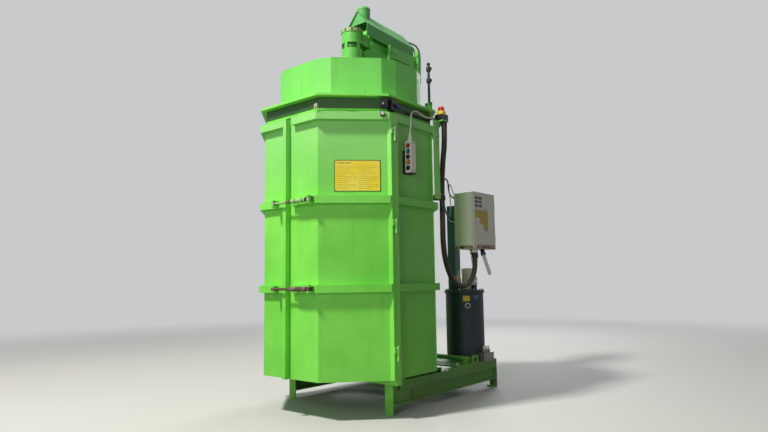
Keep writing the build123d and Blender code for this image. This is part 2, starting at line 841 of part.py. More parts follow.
# Roof over the arm: folded gable sheet that falls to the rear, gable plates and a cap
fall = math.radians(roof_fall)
roof_line = Plane(
    origin=(0, chamber_y + roof_front, roof_ridge),
    x_dir=(1, 0, 0),
    z_dir=(0, -math.cos(fall), math.sin(fall)),
)
eave_inner = roof_half - roof_sheet
roof_pitch = roof_slope_height / roof_half
slope_drop = roof_sheet * math.hypot(1, roof_pitch)
roof_drop = roof_slope_height + roof_side_height
front_gable_drop = 100.0
rear_gable_drop = 56.0
gable_inset = 8.0
bulkhead_inset = 140.0
beam_top = upper_pin_z + upper_beam_height / 2


def add_gable(y, bottom):
    # An upright gable plate at y, from the height bottom up into the roof's sheet
    peak = roof_ridge - (y - roof_front) * math.tan(fall) - slope_drop / 2
    half = (peak - bottom) / roof_pitch
    with BuildSketch(front(y)) as gable:
        Polygon((-half, bottom), (half, bottom), (0, peak))
    extrude(gable.sketch, amount=-bulkhead_plate)


with BuildPart() as roof_cover:
    with BuildSketch(roof_line):
        Polygon(
            (-roof_half, -roof_drop),
            (-roof_half, -roof_slope_height),
            (0, 0),
            (roof_half, -roof_slope_height),
            (roof_half, -roof_drop),
            (eave_inner, -roof_drop),
            (eave_inner, -roof_slope_height + roof_sheet * roof_pitch - slope_drop),
            (0, -slope_drop),
            (-eave_inner, -roof_slope_height + roof_sheet * roof_pitch - slope_drop),
            (-eave_inner, -roof_drop),
        )
    extrude(amount=-(roof_rear - roof_front) / math.cos(fall))
    add_gable(roof_front + gable_inset, roof_ridge - front_gable_drop)
    add_gable(roof_front + bulkhead_inset, beam_top)
    add_gable(roof_rear - bulkhead_inset, beam_top)
    rear_ridge = roof_ridge - (roof_rear - roof_front) * math.tan(fall)
    add_gable(roof_rear - gable_inset, rear_ridge - rear_gable_drop)
    cap_foot = roof_ridge - (cap_y - roof_front) * math.tan(fall) - cap_radius * roof_pitch - slope_drop
    with BuildSketch(level(cap_foot)):
        with Locations((0, cap_y)):
            Circle(cap_radius)
    extrude(amount=roof_ridge + cap_rise - cap_foot)
    fillet(roof_cover.faces().sort_by(Axis.Z)[-1].edges(), 8)
roof_cover.part.label = "roof_cover"
export_step(roof_cover.part, "parts/roof_cover.step")

# Lift cylinder on its line from the pin in the column to the lower beam's lug
lift_run = (lift_lug_y - cylinder_foot_y, lift_lug_z - cylinder_foot_z)
lift_length = math.hypot(*lift_run)
lift_line = Plane(
    origin=(0, chamber_y + cylinder_foot_y, cylinder_foot_z),
    x_dir=(1, 0, 0),
    z_dir=(0, lift_run[0], lift_run[1]),
)
barrel_start = 60.0
barrel_end_plate = 15.0
with BuildPart() as lift_cylinder:
    with BuildSketch(lift_line.offset(barrel_start)):
        Circle(cylinder_radius)
    extrude(amount=cylinder_length - barrel_start)
    with BuildSketch(lift_line.offset(cylinder_length - gland_length)):
        Circle(cylinder_radius + 4)
    extrude(amount=gland_length)
    with BuildSketch(lift_line):
        Rectangle(2 * foot_eye_half, 2 * foot_eye_half)
    extrude(amount=barrel_start + 1)
    with BuildSketch(side(0)):
        with Locations((cylinder_foot_y, cylinder_foot_z)):
            Circle(2 * lift_pin_radius)
    extrude(amount=foot_eye_half, both=True)
    with BuildSketch(side(0)):
        with Locations((cylinder_foot_y, cylinder_foot_z)):
            Circle(lift_pin_radius + running_clearance)
    extrude(amount=foot_eye_half, both=True, mode=Mode.SUBTRACT)
    with BuildSketch(lift_line.offset(barrel_start + barrel_end_plate)):
        Circle(cylinder_radius - cylinder_wall)
    extrude(amount=cylinder_length - gland_length - barrel_start - barrel_end_plate, mode=Mode.SUBTRACT)
    with BuildSketch(lift_line.offset(cylinder_length - gland_length)):
        Circle(rod_radius + running_clearance)
    extrude(amount=gland_length, mode=Mode.SUBTRACT)
lift_cylinder.part.label = "lift_cylinder"
export_step(lift_cylinder.part, "parts/lift_cylinder.step")

piston_start = cylinder_length - gland_length - piston_length - 20
with BuildPart() as lift_rod:
    with BuildSketch(lift_line.offset(piston_start)):
        Circle(cylinder_radius - cylinder_wall - running_clearance)
    extrude(amount=piston_length)
    with BuildSketch(lift_line.offset(piston_start)):
        Circle(rod_radius)
    extrude(amount=lift_length - rod_end_length - piston_start)
    with BuildSketch(lift_line.offset(lift_length - rod_end_length)):
        Rectangle(2 * rod_end_half, 1.8 * rod_radius)
    extrude(amount=rod_end_length)
    with BuildSketch(side(0)):
        with Locations((lift_lug_y, lift_lug_z)):
            Circle(0.9 * rod_radius)
    extrude(amount=rod_end_half, both=True)
    with BuildSketch(side(0)):
        with Locations((lift_lug_y, lift_lug_z)):
            Circle(lift_pin_radius)
    extrude(amount=lug_inner + lug_thickness, both=True)
lift_rod.part.label = "lift_rod"
export_step(lift_rod.part, "parts/lift_rod.step")

# Press head: the housing with its windows, lugs, fin and the two pins for the arm
head_lug_top = housing_top - 2.0
head_lug_start = 20.0
head_lug_radius = 20.0
with BuildPart() as spindle_housing:
    with BuildSketch(level(housing_bottom)):
        with Locations((0, spindle_y)):
            Circle(housing_radius)
    extrude(amount=housing_top - housing_bottom)
    with BuildSketch(side(0)):
        Polygon(
            (spindle_y, fin_bottom),
            (fin_rear - 2 * fin_plate, fin_bottom),
            (fin_rear - fin_plate, fin_bottom + 3 * fin_plate),
            (fin_rear - fin_plate, fin_top),
            (spindle_y, fin_top),
        )
    extrude(amount=fin_plate / 2, both=True)
    with BuildSketch(level(fin_bottom + 3 * fin_plate)):
        with Locations((0, fin_rear - fin_plate / 2)):
            Rectangle(2 * fin_flange_half, fin_plate)
    extrude(amount=fin_top - fin_bottom - 3 * fin_plate)
    for sign in (1, -1):
        with BuildSketch(side(sign * head_lug_inner)):
            Polygon(
                (spindle_y + head_lug_start, head_lug_top),
                (head_pin_y, head_lug_top),
                (head_pin_y, lower_pin_z - head_lug_radius),
                (spindle_y + head_lug_start, lower_pin_z - head_lug_radius),
            )
            with Locations((head_pin_y, (lower_pin_z + upper_pin_z) / 2)):
                Rectangle(2 * boss_radius, upper_pin_z - lower_pin_z)
            with Locations((head_pin_y, upper_pin_z)):
                Circle(boss_radius)
            with Locations((head_pin_y, lower_pin_z)):
                Circle(head_lug_radius)
        extrude(amount=sign * head_lug_plate)
    with BuildSketch(side(0)):
        with Locations((head_pin_y, upper_pin_z), (head_pin_y, lower_pin_z)):
            Circle(arm_pin_radius)
    extrude(amount=lower_beam_half - 0.5, both=True)
    with BuildSketch(level(housing_bottom)):
        with Locations((0, spindle_y)):
            Circle(housing_radius - housing_wall)
    extrude(amount=housing_top - housing_bottom, mode=Mode.SUBTRACT)
    with Locations((0, chamber_y + spindle_y, window_middle)):
        with PolarLocations(housing_radius - housing_wall / 2, window_count, start_angle=window_turn):
            Box(3 * housing_wall, window_width, window_height, mode=Mode.SUBTRACT)
spindle_housing.part.label = "spindle_housing"
export_step(spindle_housing.part, "parts/spindle_housing.step")

with BuildPart() as head_flange:
    with BuildSketch(level(housing_top)):
        with Locations((0, spindle_y)):
            Circle(head_flange_radius)
            with PolarLocations(head_flange_radius, bolt_count, start_angle=window_turn):
                Rectangle(2 * flange_slot_depth, flange_slot_width, mode=Mode.SUBTRACT)
    extrude(amount=head_flange_thickness)
    with BuildSketch(level(housing_top + head_flange_thickness)):
        with Locations((0, spindle_y)):
            with PolarLocations(bolt_ring, bolt_count, start_angle=window_turn):
                RegularPolygon(bolt_radius, 6)
    extrude(amount=bolt_head)
head_flange.part.label = "head_flange"
export_step(head_flange.part, "parts/head_flange.step")

# Rotor: shaft with two bearings, hub, and the axle that points to the front at rest
with BuildPart() as rotor_shaft:
    with BuildSketch(level(hub_top)):
        with Locations((0, spindle_y)):
            Circle(shaft_radius)
    extrude(amount=shaft_top - hub_top)
    with BuildSketch(level(hub_bottom)):
        with Locations((0, spindle_y)):
            Circle(hub_radius)
    extrude(amount=hub_top - hub_bottom)
    with BuildSketch(level(bearing_heights[0]), level(bearing_heights[1])):
        with Locations((0, spindle_y)):
            Circle(housing_radius - housing_wall - running_clearance)
    extrude(amount=bearing_length)
    with BuildSketch(front(spindle_y)):
        with Locations((0, roller_z)):
            Circle(roller_axle_radius)
    extrude(amount=roller_outer + 20)
    for start, end in ((spindle_y - roller_inner + 0.5, spindle_y - hub_radius + 20),
                       (spindle_y - roller_outer - 14, spindle_y - roller_outer - 0.5)):
        with BuildSketch(front(start)):
            with Locations((0, roller_z)):
                Circle(1.5 * roller_axle_radius)
        extrude(amount=-(end - start))
rotor_shaft.part.label = "rotor_shaft"
export_step(rotor_shaft.part, "parts/rotor_shaft.step")

# Press roller: a drum with ridges that ring grooves part into teeth, open at its inner end
roller_front = spindle_y - roller_outer
roller_length = roller_outer - roller_inner
with BuildPart() as press_roller:
    with BuildSketch(front(roller_front)):
        with Locations((0, roller_z)):
            Circle(roller_radius)
            with PolarLocations(roller_radius - 4, tooth_rows):
                Polygon((0, -tooth_base / 2), (tooth_height + 4, 0), (0, tooth_base / 2))
    extrude(amount=-roller_length)
    for i in range(tooth_gap_count):
        groove = roller_front + roller_length * (i + 1) / (tooth_gap_count + 1) - tooth_gap / 2
        with BuildSketch(front(groove)):
            with Locations((0, roller_z)):
                Circle(roller_radius + tooth_height + 2)
                Circle(roller_radius, mode=Mode.SUBTRACT)
        extrude(amount=-tooth_gap, mode=Mode.SUBTRACT)
    with BuildSketch(front(roller_front + roller_end)):
        with Locations((0, roller_z)):
            Circle(roller_radius - roller_end)
            Circle(2 * roller_axle_radius, mode=Mode.SUBTRACT)
    extrude(amount=-(roller_length - roller_end), mode=Mode.SUBTRACT)
    with BuildSketch(front(roller_front)):
        with Locations((0, roller_z)):
            Circle(roller_axle_radius + running_clearance)
    extrude(amount=-roller_length, mode=Mode.SUBTRACT)
press_roller.part.label = "press_roller"
export_step(press_roller.part, "parts/press_roller.step")

# Hydraulic tank on its ring, with a rim; the lid with the filler; the valve block on the base
with BuildPart() as oil_tank:
    with BuildSketch(level(base_top)):
        with Locations((tank_x, tank_y)):
            Circle(tank_ring_radius)
            Circle(tank_ring_radius - 2 * wall, mode=Mode.SUBTRACT)
    extrude(amount=tank_foot - base_top)
    with BuildSketch(level(tank_foot)):
        with Locations((tank_x, tank_y)):
            Circle(tank_radius)
    extrude(amount=tank_top - tank_foot)
    fillet(oil_tank.faces().filter_by(Axis.Z).sort_by(Axis.Z)[-1].edges(), 3)
    with BuildSketch(level(tank_top - 12)):
        with Locations((tank_x, tank_y)):
            Circle(tank_radius + tank_rim)
    extrude(amount=12)
oil_tank.part.label = "oil_tank"
export_step(oil_tank.part, "parts/oil_tank.step")

lid_top = tank_top + lid_thickness
with BuildPart() as tank_lid:
    with BuildSketch(level(tank_top)):
        with Locations((tank_x, tank_y)):
            Circle(tank_radius + tank_rim)
    extrude(amount=lid_thickness)
    chamfer(tank_lid.faces().sort_by(Axis.Z)[-1].edges(), 4)
    with BuildSketch(level(lid_top)):
        with Locations(filler_place):
            Circle(filler_radius)
    extrude(amount=filler_height)
    with BuildSketch(level(lid_top)):
        with Locations(lid_block_place):
            Rectangle(lid_block_width, lid_block_depth)
    extrude(amount=lid_block_height)
tank_lid.part.label = "tank_lid"
export_step(tank_lid.part, "parts/tank_lid.step")

# Pump motor on the lid: foot flange, finned body and fan cowl
with BuildPart() as pump_motor:
    with BuildSketch(level(lid_top)):
        with Locations(pump_place):
            Circle(pump_radius + pump_fin)
    extrude(amount=pump_foot)
    with BuildSketch(level(lid_top + pump_foot)):
        with Locations(pump_place):
            Circle(pump_radius)
            with PolarLocations(pump_radius, pump_fin_count):
                Rectangle(2 * pump_fin - 4, pump_fin_plate)
    extrude(amount=pump_height - 3 * pump_foot)
    with BuildSketch(level(lid_top + pump_height - 2 * pump_foot)):
        with Locations(pump_place):
            Circle(pump_radius + pump_fin)
    extrude(amount=2 * pump_foot)
    fillet(pump_motor.faces().sort_by(Axis.Z)[-1].edges(), 6)
pump_motor.part.label = "pump_motor"
export_step(pump_motor.part, "parts/pump_motor.step")

with BuildPart() as valve_block:
    with BuildSketch(level(base_top)):
        with Locations((block_left + block_width / 2, (block_front + block_rear) / 2)):
            Rectangle(block_width, block_rear - block_front)
    extrude(amount=block_height)
    chamfer(valve_block.edges().filter_by(Axis.Z), 3)
    with BuildSketch(level(base_top + block_height)):
        for port in (0.25, 0.5, 0.75):
            with Locations((block_left + block_width / 2, block_front + port * (block_rear - block_front))):
                RegularPolygon(13, 6)
    extrude(amount=12)
valve_block.part.label = "valve_block"
export_step(valve_block.part, "parts/valve_block.step")

# Cabinet stand with two arms, the cabinet body with its glands, its door and lock
arm_height = 30.0
arm_depth = 28.0
with BuildPart() as cabinet_stand:
    with BuildSketch(level(base_top)):
        with Locations((stand_x, stand_y)):
            Rectangle(stand_size, stand_size)
            Rectangle(stand_size - 2 * wall, stand_size - 2 * wall, mode=Mode.SUBTRACT)
    extrude(amount=stand_top - base_top)
    for arm_z in (cabinet_bottom + 50, cabinet_top - 90):
        with BuildSketch(side(stand_x + stand_size / 2)):
            with Locations((cabinet_rear - arm_depth / 2, arm_z)):
                Rectangle(arm_depth, arm_height)
        extrude(amount=cabinet_left - stand_x - stand_size / 2)
cabinet_stand.part.label = "cabinet_stand"
export_step(cabinet_stand.part, "parts/cabinet_stand.step")

cabinet_middle_y = (cabinet_front + cabinet_rear) / 2
cabinet_middle_z = (cabinet_bottom + cabinet_top) / 2
cabinet_depth_y = cabinet_rear - cabinet_front
cabinet_height = cabinet_top - cabinet_bottom
cabinet_width = cabinet_right - cabinet_left
cabinet_hinge_x = cabinet_right + cabinet_door_gap + cabinet_door_depth / 2
cabinet_hinge_y = cabinet_rear + cabinet_barrel
gland_radius = 22.0
gland_height = 25.0
conduit_x = 440.0
conduit_y = 850.0
with BuildPart() as cabinet_body:
    with BuildSketch(side(cabinet_left)):
        with Locations((cabinet_middle_y, cabinet_middle_z)):
            RectangleRounded(cabinet_depth_y, cabinet_height, 6)
    extrude(amount=cabinet_width)
    with BuildSketch(side(cabinet_left + cabinet_wall)):
        with Locations((cabinet_middle_y, cabinet_middle_z)):
            Rectangle(cabinet_depth_y - 2 * cabinet_wall, cabinet_height - 2 * cabinet_wall)
    extrude(amount=cabinet_width - cabinet_wall, mode=Mode.SUBTRACT)
    with BuildSketch(level(cabinet_bottom)):
        with Locations((conduit_x, conduit_y)):
            Circle(gland_radius)
        with Locations((cabinet_left + 40, conduit_y + 60), (cabinet_left + 40, conduit_y + 110)):
            Circle(gland_radius / 2)
    extrude(amount=-gland_height)
    for middle in cabinet_hinges:
        with BuildSketch(level(middle - cabinet_hinge_length / 2)):
            with Locations((cabinet_right - 8, cabinet_rear + cabinet_barrel - 0.5)):
                Rectangle(16, 2 * cabinet_barrel + 1)
            with Locations(((cabinet_right + cabinet_hinge_x) / 2, cabinet_hinge_y + 1)):
                Rectangle(cabinet_hinge_x - cabinet_right, 2 * cabinet_barrel - 2)
            with Locations((cabinet_hinge_x, cabinet_hinge_y)):
                Circle(cabinet_barrel)
        extrude(amount=cabinet_hinge_length / 2 - 0.5)
        with BuildSketch(level(middle - 0.5)):
            with Locations((cabinet_hinge_x, cabinet_hinge_y)):
                Circle(cabinet_barrel / 2)
        extrude(amount=cabinet_hinge_length / 2)
cabinet_body.part.label = "cabinet_body"
export_step(cabinet_body.part, "parts/cabinet_body.step")

door_plane = cabinet_right + cabinet_door_gap
door_sheet = 3.0
with BuildPart() as cabinet_door:
    with BuildSketch(side(door_plane)):
        with Locations((cabinet_middle_y - 0.5, cabinet_middle_z)):
            RectangleRounded(cabinet_depth_y - 1, cabinet_height, 6)
    extrude(amount=cabinet_door_depth)
    with BuildSketch(side(door_plane)):
        with Locations((cabinet_middle_y - 0.5, cabinet_middle_z)):
            Rectangle(cabinet_depth_y - 1 - 2 * door_sheet, cabinet_height - 2 * door_sheet)
    extrude(amount=cabinet_door_depth - door_sheet, mode=Mode.SUBTRACT)
    for middle in cabinet_hinges:
        with BuildSketch(level(middle + 0.5)):
            with Locations((cabinet_hinge_x, cabinet_hinge_y - cabinet_barrel / 2 - 0.5)):
                Rectangle(cabinet_barrel, cabinet_barrel + 1)
            with Locations((cabinet_hinge_x, cabinet_hinge_y)):
                Circle(cabinet_barrel)
                Circle(cabinet_barrel / 2 + pin_clearance, mode=Mode.SUBTRACT)
        extrude(amount=cabinet_hinge_length / 2 - 0.5)
    with BuildSketch(side(door_plane)):
        with Locations((lock_y, lock_z)):
            Circle(lock_radius - 3 + pin_clearance)
    extrude(amount=cabinet_door_depth, mode=Mode.SUBTRACT)
cabinet_door.part.label = "cabinet_door"
export_step(cabinet_door.part, "parts/cabinet_door.step")

with BuildPart() as cabinet_lock:
    with BuildSketch(side(door_plane + cabinet_door_depth + 0.3)):
        with Locations((lock_y, lock_z)):
            Circle(lock_radius)
    extrude(amount=6)
    with BuildSketch(side(door_plane + cabinet_door_depth + 3.3)):
        with Locations((lock_y, lock_z)):
            Rectangle(3, 2 * lock_radius - 6)
    extrude(amount=3, mode=Mode.SUBTRACT)
    with BuildSketch(side(door_plane + 4)):
        with Locations((lock_y, lock_z)):
            Circle(lock_radius - 3)
    extrude(amount=cabinet_door_depth - 3)
    with BuildSketch(side(door_plane + 6)):
        with Locations((lock_y, lock_z - 14)):
            Rectangle(10, 40)
    extrude(amount=4)
cabinet_lock.part.label = "cabinet_lock"
export_step(cabinet_lock.part, "parts/cabinet_lock.step")

# Cable guard: a strip on the bands' outer faces with a shelf for the emergency stop
with BuildPart() as cable_guard:
    with BuildSketch(level(guard_bottom)):
        with Locations((band_face + wall / 2, (guard_front + guard_rear) / 2)):
            Rectangle(wall, guard_rear - guard_front)
    extrude(amount=shelf_top - guard_bottom)
    with BuildSketch(level(shelf_top)):
        with Locations((estop_x, estop_y)):
            Rectangle(estop_size, estop_size)
    extrude(amount=-shelf_plate)
    with BuildSketch(side(estop_x - 8)):
        Polygon(
            (guard_rear - 2, shelf_top - shelf_plate),
            (estop_y + estop_size / 2 - 6, shelf_top - shelf_plate),
            (guard_rear - 2, shelf_top - shelf_plate - 45),
        )
    extrude(amount=-wall - 1)
cable_guard.part.label = "cable_guard"
export_step(cable_guard.part, "parts/cable_guard.step")

with BuildPart() as estop_base:
    with BuildSketch(level(shelf_top)):
        with Locations((estop_x, estop_y)):
            RectangleRounded(estop_size, estop_size, 6)
    extrude(amount=estop_height)
    with BuildSketch(level(shelf_top + estop_height)):
        with Locations((estop_x, estop_y)):
            Circle(estop_ring_radius)
    extrude(amount=estop_ring_height)
    chamfer(estop_base.faces().sort_by(Axis.Z)[-1].edges(), 4)
    with BuildSketch(level(shelf_top + estop_height)):
        with Locations((estop_x, estop_y)):
            Circle(estop_stem_radius + pin_clearance)
    extrude(amount=estop_ring_height, mode=Mode.SUBTRACT)
estop_base.part.label = "estop_base"
export_step(estop_base.part, "parts/estop_base.step")

estop_head_foot = shelf_top + estop_height + estop_ring_height + estop_travel + 1
with BuildPart() as estop_button:
    with BuildSketch(level(shelf_top + estop_height + estop_travel + 1)):
        with Locations((estop_x, estop_y)):
            Circle(estop_stem_radius)
    extrude(amount=estop_ring_height)
    with BuildSketch(level(estop_head_foot)):
        with Locations((estop_x, estop_y)):
            Circle(estop_head_radius)
    extrude(amount=estop_head_height)
    fillet(estop_button.faces().sort_by(Axis.Z)[-1].edges(), 9)
estop_button.part.label = "estop_button"
export_step(estop_button.part, "parts/estop_button.step")

# Bracket and pole on the deck, behind the collar's side
pole_start = deck_top + pole_bracket_height - 10
with BuildPart() as bracket_pole:
    with BuildSketch(level(deck_top)):
        with Locations((pole_x, pole_y)):
            Rectangle(pole_bracket_width, 6)
        with Locations((pole_x, pole_y - 12)):
            Rectangle(pole_bracket_width, 24)
    extrude(amount=5)
    with BuildSketch(level(deck_top)):
        with Locations((pole_x, pole_y)):
            Rectangle(pole_bracket_width, 6)
    extrude(amount=pole_bracket_height)
    with BuildSketch(level(pole_start - 30)):
        with Locations((pole_x, pole_y + 8)):
            Circle(pole_radius)
    extrude(amount=pole_top - pole_start + 30)
    for clamp_z in (pole_top - 50, pole_top - 130):
        with BuildSketch(level(clamp_z)):
            with Locations((pole_x, pole_y + 8)):
                Circle(pole_radius + 6)
        extrude(amount=28)
bracket_pole.part.label = "bracket_pole"
export_step(bracket_pole.part, "parts/bracket_pole.step")

# Door switch on the top frame's web, with its gland toward the rear
web_face = chamber_width / 2 - frame_web_recess
with BuildPart() as door_switch:
    with BuildSketch(side(web_face)):
        with Locations(((switch_front + switch_rear) / 2, (switch_bottom + switch_top) / 2)):
            RectangleRounded(switch_rear - switch_front, switch_top - switch_bottom, 5)
    extrude(amount=switch_depth)
    with BuildSketch(front(switch_rear)):
        with Locations((web_face + switch_depth / 2, switch_top - 25)):
            Circle(9)
    extrude(amount=-22)
door_switch.part.label = "door_switch"
export_step(door_switch.part, "parts/door_switch.step")

# Pendant in its holder on the side wall, with five buttons on its front face
shelf_z = pendant_bottom - 6.3
pendant_left = wall_face + holder_plate + 0.3
with BuildPart() as pendant_holder:
    with BuildSketch(side(wall_face)):
        with Locations(((pendant_front + pendant_rear) / 2, (shelf_z + pendant_top - 60) / 2)):
            Rectangle(90, pendant_top - 60 - shelf_z)
    extrude(amount=holder_plate)
    with BuildSketch(level(shelf_z)):
        with Locations(((wall_face + pendant_right) / 2, (pendant_front + pendant_rear) / 2)):
            Rectangle(pendant_right - wall_face, pendant_rear - pendant_front + 6)
    extrude(amount=6)
    with BuildSketch(level(shelf_z)):
        with Locations(((wall_face + pendant_right) / 2, pendant_rear + 2.5)):
            Rectangle(pendant_right - wall_face, 4)
    extrude(amount=40)
pendant_holder.part.label = "pendant_holder"
export_step(pendant_holder.part, "parts/pendant_holder.step")

button_x = (pendant_left + pendant_right) / 2
button_heights = [pendant_top - button_drop - button_pitch * i for i in range(button_count)]
pocket_depth = 15.0
with BuildPart() as pendant_body:
    with BuildSketch(front(pendant_front)):
        with Locations((button_x, (pendant_bottom + pendant_top) / 2)):
            RectangleRounded(pendant_right - pendant_left, pendant_top - pendant_bottom, 9)
    extrude(amount=-(pendant_rear - pendant_front))
    with BuildSketch(level(pendant_top)):
        with Locations((button_x, (pendant_front + pendant_rear) / 2)):
            Circle(10)
    extrude(amount=pendant_neck)
    with BuildSketch(front(pendant_front)):
        for z in button_heights:
            with Locations((button_x, z)):
                Circle(button_radius + pin_clearance)
    extrude(amount=-pocket_depth, mode=Mode.SUBTRACT)
pendant_body.part.label = "pendant_body"
export_step(pendant_body.part, "parts/pendant_body.step")

for i, z in enumerate(button_heights):
    with BuildPart() as pendant_button:
        with BuildSketch(front(pendant_front - button_proud)):
            with Locations((button_x, z)):
                Circle(button_radius)
        extrude(amount=-(button_proud + pocket_depth - button_travel - 1))
        fillet(pendant_button.faces().sort_by(Axis.Y)[0].edges(), 2)
    pendant_button.part.label = f"pendant_button_{i + 1}"
    export_step(pendant_button.part, f"parts/pendant_button_{i + 1}.step")


def hose(name, radius, points):
    # A round hose along straight runs joined by arcs as large as the runs allow
    route = [Vector(x, chamber_y + y, z) for x, y, z in points]
    runs = [b - a for a, b in zip(route, route[1:])]
    radii = []
    for before, after in zip(runs, runs[1:]):
        half_turn = math.radians(before.get_angle(after)) / 2
        radii.append(0.45 * min(before.length, after.length) / math.tan(half_turn))
    print(name, "arc radii", [round(r) for r in radii])
    with BuildPart() as tube:
        with BuildLine():
            path = FilletPolyline(*route, radius=radii)
        with BuildSketch(Plane(origin=route[0], z_dir=runs[0])):
            Circle(radius)
        sweep(path=path)
    print(name, "volume over section times length", tube.part.volume / (math.pi * radius**2 * path.length))
    tube.part.label = name
    export_step(tube.part, f"parts/{name}.step")


conduit_start_x = estop_x + 13
hose("conduit_hose", 18.0, [
    (conduit_start_x, 290, shelf_top - shelf_plate),
    (conduit_start_x, 290, 1720),
    (566, 303, 1640),
    (533, 334, 1560),
    (506, 356, 1450),
    (500, 360, 1310),
    (503, 357, 1160),
    (494, 368, 1020),
    (482, 408, 900),
    (468, 485, 798),
    (456, 580, 742),
    (450, 680, 732),
    (446, 770, 762),
    (441, 832, 825),
    (conduit_x, conduit_y, 900),
    (conduit_x, conduit_y, cabinet_bottom - gland_height),
])
cable_end_x = estop_x - 23
cable_end_z = 1814.0
hose("pendant_cable", 5.0, [
    (button_x, (pendant_front + pendant_rear) / 2, pendant_top + pendant_neck),
    (button_x, (pendant_front + pendant_rear) / 2, 1672),
    (559, -42, 1712),
    (564, -48, 1758),
    (557, -26, 1800),
    (547, 30, 1820),
    (542, 90, 1810),
    (540, 150, 1801),
    (cable_end_x, 202, cable_end_z),
    (cable_end_x, estop_y - estop_size / 2, cable_end_z),
])
hose_start_y = roof_rear - gable_inset + bulkhead_plate
hose_start_z = rear_ridge - 36.0
hose_end_y = column_rear + port_block_depth / 2
hose_end_z = port_block_bottom + port_block_height
for name, sign in (("arm_hose_right", 1), ("arm_hose_left", -1)):
    hose(name, 7.0, [
        (sign * 12, hose_start_y, hose_start_z),
        (sign * 12, 680, hose_start_z),
        (sign * 16, 742, 2606),
        (sign * 20, 788, 2582),
        (sign * 20, 805, 2530),
        (sign * 20, 806, 2450),
        (sign * 20, 800, 2375),
        (sign * 20, 778, 2300),
        (sign * 20, 748, 2235),
        (sign * 20, hose_end_y, 2185),
        (sign * 20, hose_end_y, hose_end_z),
    ])
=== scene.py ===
import json
import math
import bpy
import bmesh
from mathutils import Matrix, Vector


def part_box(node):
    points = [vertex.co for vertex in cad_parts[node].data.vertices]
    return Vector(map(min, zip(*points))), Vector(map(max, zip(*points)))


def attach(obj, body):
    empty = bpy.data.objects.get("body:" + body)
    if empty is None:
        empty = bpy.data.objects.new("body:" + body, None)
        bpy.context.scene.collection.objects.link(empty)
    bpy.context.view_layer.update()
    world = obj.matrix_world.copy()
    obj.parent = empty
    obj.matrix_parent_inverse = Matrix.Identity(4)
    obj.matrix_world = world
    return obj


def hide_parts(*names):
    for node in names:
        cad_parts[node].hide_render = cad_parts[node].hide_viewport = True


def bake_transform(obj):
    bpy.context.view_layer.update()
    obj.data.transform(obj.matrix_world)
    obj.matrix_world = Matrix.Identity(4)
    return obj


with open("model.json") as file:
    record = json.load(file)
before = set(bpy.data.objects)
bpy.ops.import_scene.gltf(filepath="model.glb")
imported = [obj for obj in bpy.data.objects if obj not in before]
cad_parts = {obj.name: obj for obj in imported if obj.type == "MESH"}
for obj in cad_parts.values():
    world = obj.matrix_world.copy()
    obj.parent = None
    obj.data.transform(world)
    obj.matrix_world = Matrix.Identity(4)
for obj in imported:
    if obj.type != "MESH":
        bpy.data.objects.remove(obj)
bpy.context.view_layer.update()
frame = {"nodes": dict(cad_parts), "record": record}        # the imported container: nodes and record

print("press container:", len(frame["nodes"]), "nodes loaded")

floorLow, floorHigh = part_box("floor_plate")
chamberY = (floorLow.y + floorHigh.y) / 2    # the chamber's upright axis stands at x = 0, y = chamberY
mm = 0.001
up, down, east = Vector((0, 0, 1)), Vector((0, 0, -1)), Vector((1, 0, 0))
hands = (1, -1)                              # right, left


def at(x, y, z):
    # a place set out from the chamber's axis, in millimetres, as metres of the frame
    return Vector((x / 1000, chamberY + y / 1000, z / 1000))


class Look(dict):
    # what a user would change of a piece, read as look.name
    __getattr__ = dict.__getitem__


def placed(name, data):
    made = bpy.data.objects.new(name, data)
    bpy.context.scene.collection.objects.link(made)
    return made


# camera, at the photograph's place
view = Look(
    place=at(2691.9, -2863.0, 781.1),
    turn=(-39.853, 6.151, -0.805),    # yaw from +Y toward +X, pitch and roll in degrees
    focalPixels=595.85, imageWidth=768, sensor=36.0, clip=(0.05, 60),
)
yaw, pitch, roll = map(math.radians, view.turn)
right = Vector((math.cos(yaw), -math.sin(yaw), 0))
ahead = Vector((math.sin(yaw) * math.cos(pitch), math.cos(yaw) * math.cos(pitch), math.sin(pitch)))
above = right.cross(ahead)
across = right * math.cos(roll) + above * math.sin(roll)
upward = above * math.cos(roll) - right * math.sin(roll)
lens = bpy.data.cameras.new("camera")
lens.sensor_width = view.sensor
lens.lens = view.focalPixels * view.sensor / view.imageWidth
lens.clip_start, lens.clip_end = view.clip
camera = placed("camera", lens)
camera.matrix_world = Matrix.Translation(view.place) @ Matrix((across, upward, -ahead)).transposed().to_4x4()
bpy.context.scene.camera = camera
print("camera set")


# shader kit: a Flow is a value in a material, and sums and products of it add Math nodes
class Flow:
    def __init__(self, paint, socket):
        self.paint, self.socket = paint, socket

    def maths(self, operation, *terms):
        return self.paint.node("Math", dict(enumerate(terms)), operation=operation)

    def ramp(self, low, high):
        # 0 below low, 1 above high, smooth between; low above high turns it round
        return self.paint.node("MapRange", {"Value": self, "From Min": low, "From Max": high},
                               interpolation_type="SMOOTHSTEP")

    def wrapped(self, size):
        return self.maths("MODULO", self, size)


for symbol, operation in dict(add="ADD", sub="SUBTRACT", mul="MULTIPLY", pow="POWER", gt="GREATER_THAN",
                              lt="LESS_THAN").items():
    setattr(Flow, f"__{symbol}__", lambda self, other, what=operation: self.maths(what, self, other))
    if symbol in ("add", "sub", "mul"):
        setattr(Flow, f"__r{symbol}__", lambda self, other, what=operation: self.maths(what, other, self))


def tint(chart):
    # a colour as a paint chart gives it, rrggbb, as the shader wants it
    shares = [value / 255 for value in bytes.fromhex(chart)]
    return (*(v / 12.92 if v <= 0.04045 else ((v + 0.055) / 1.055) ** 2.4 for v in shares), 1.0)


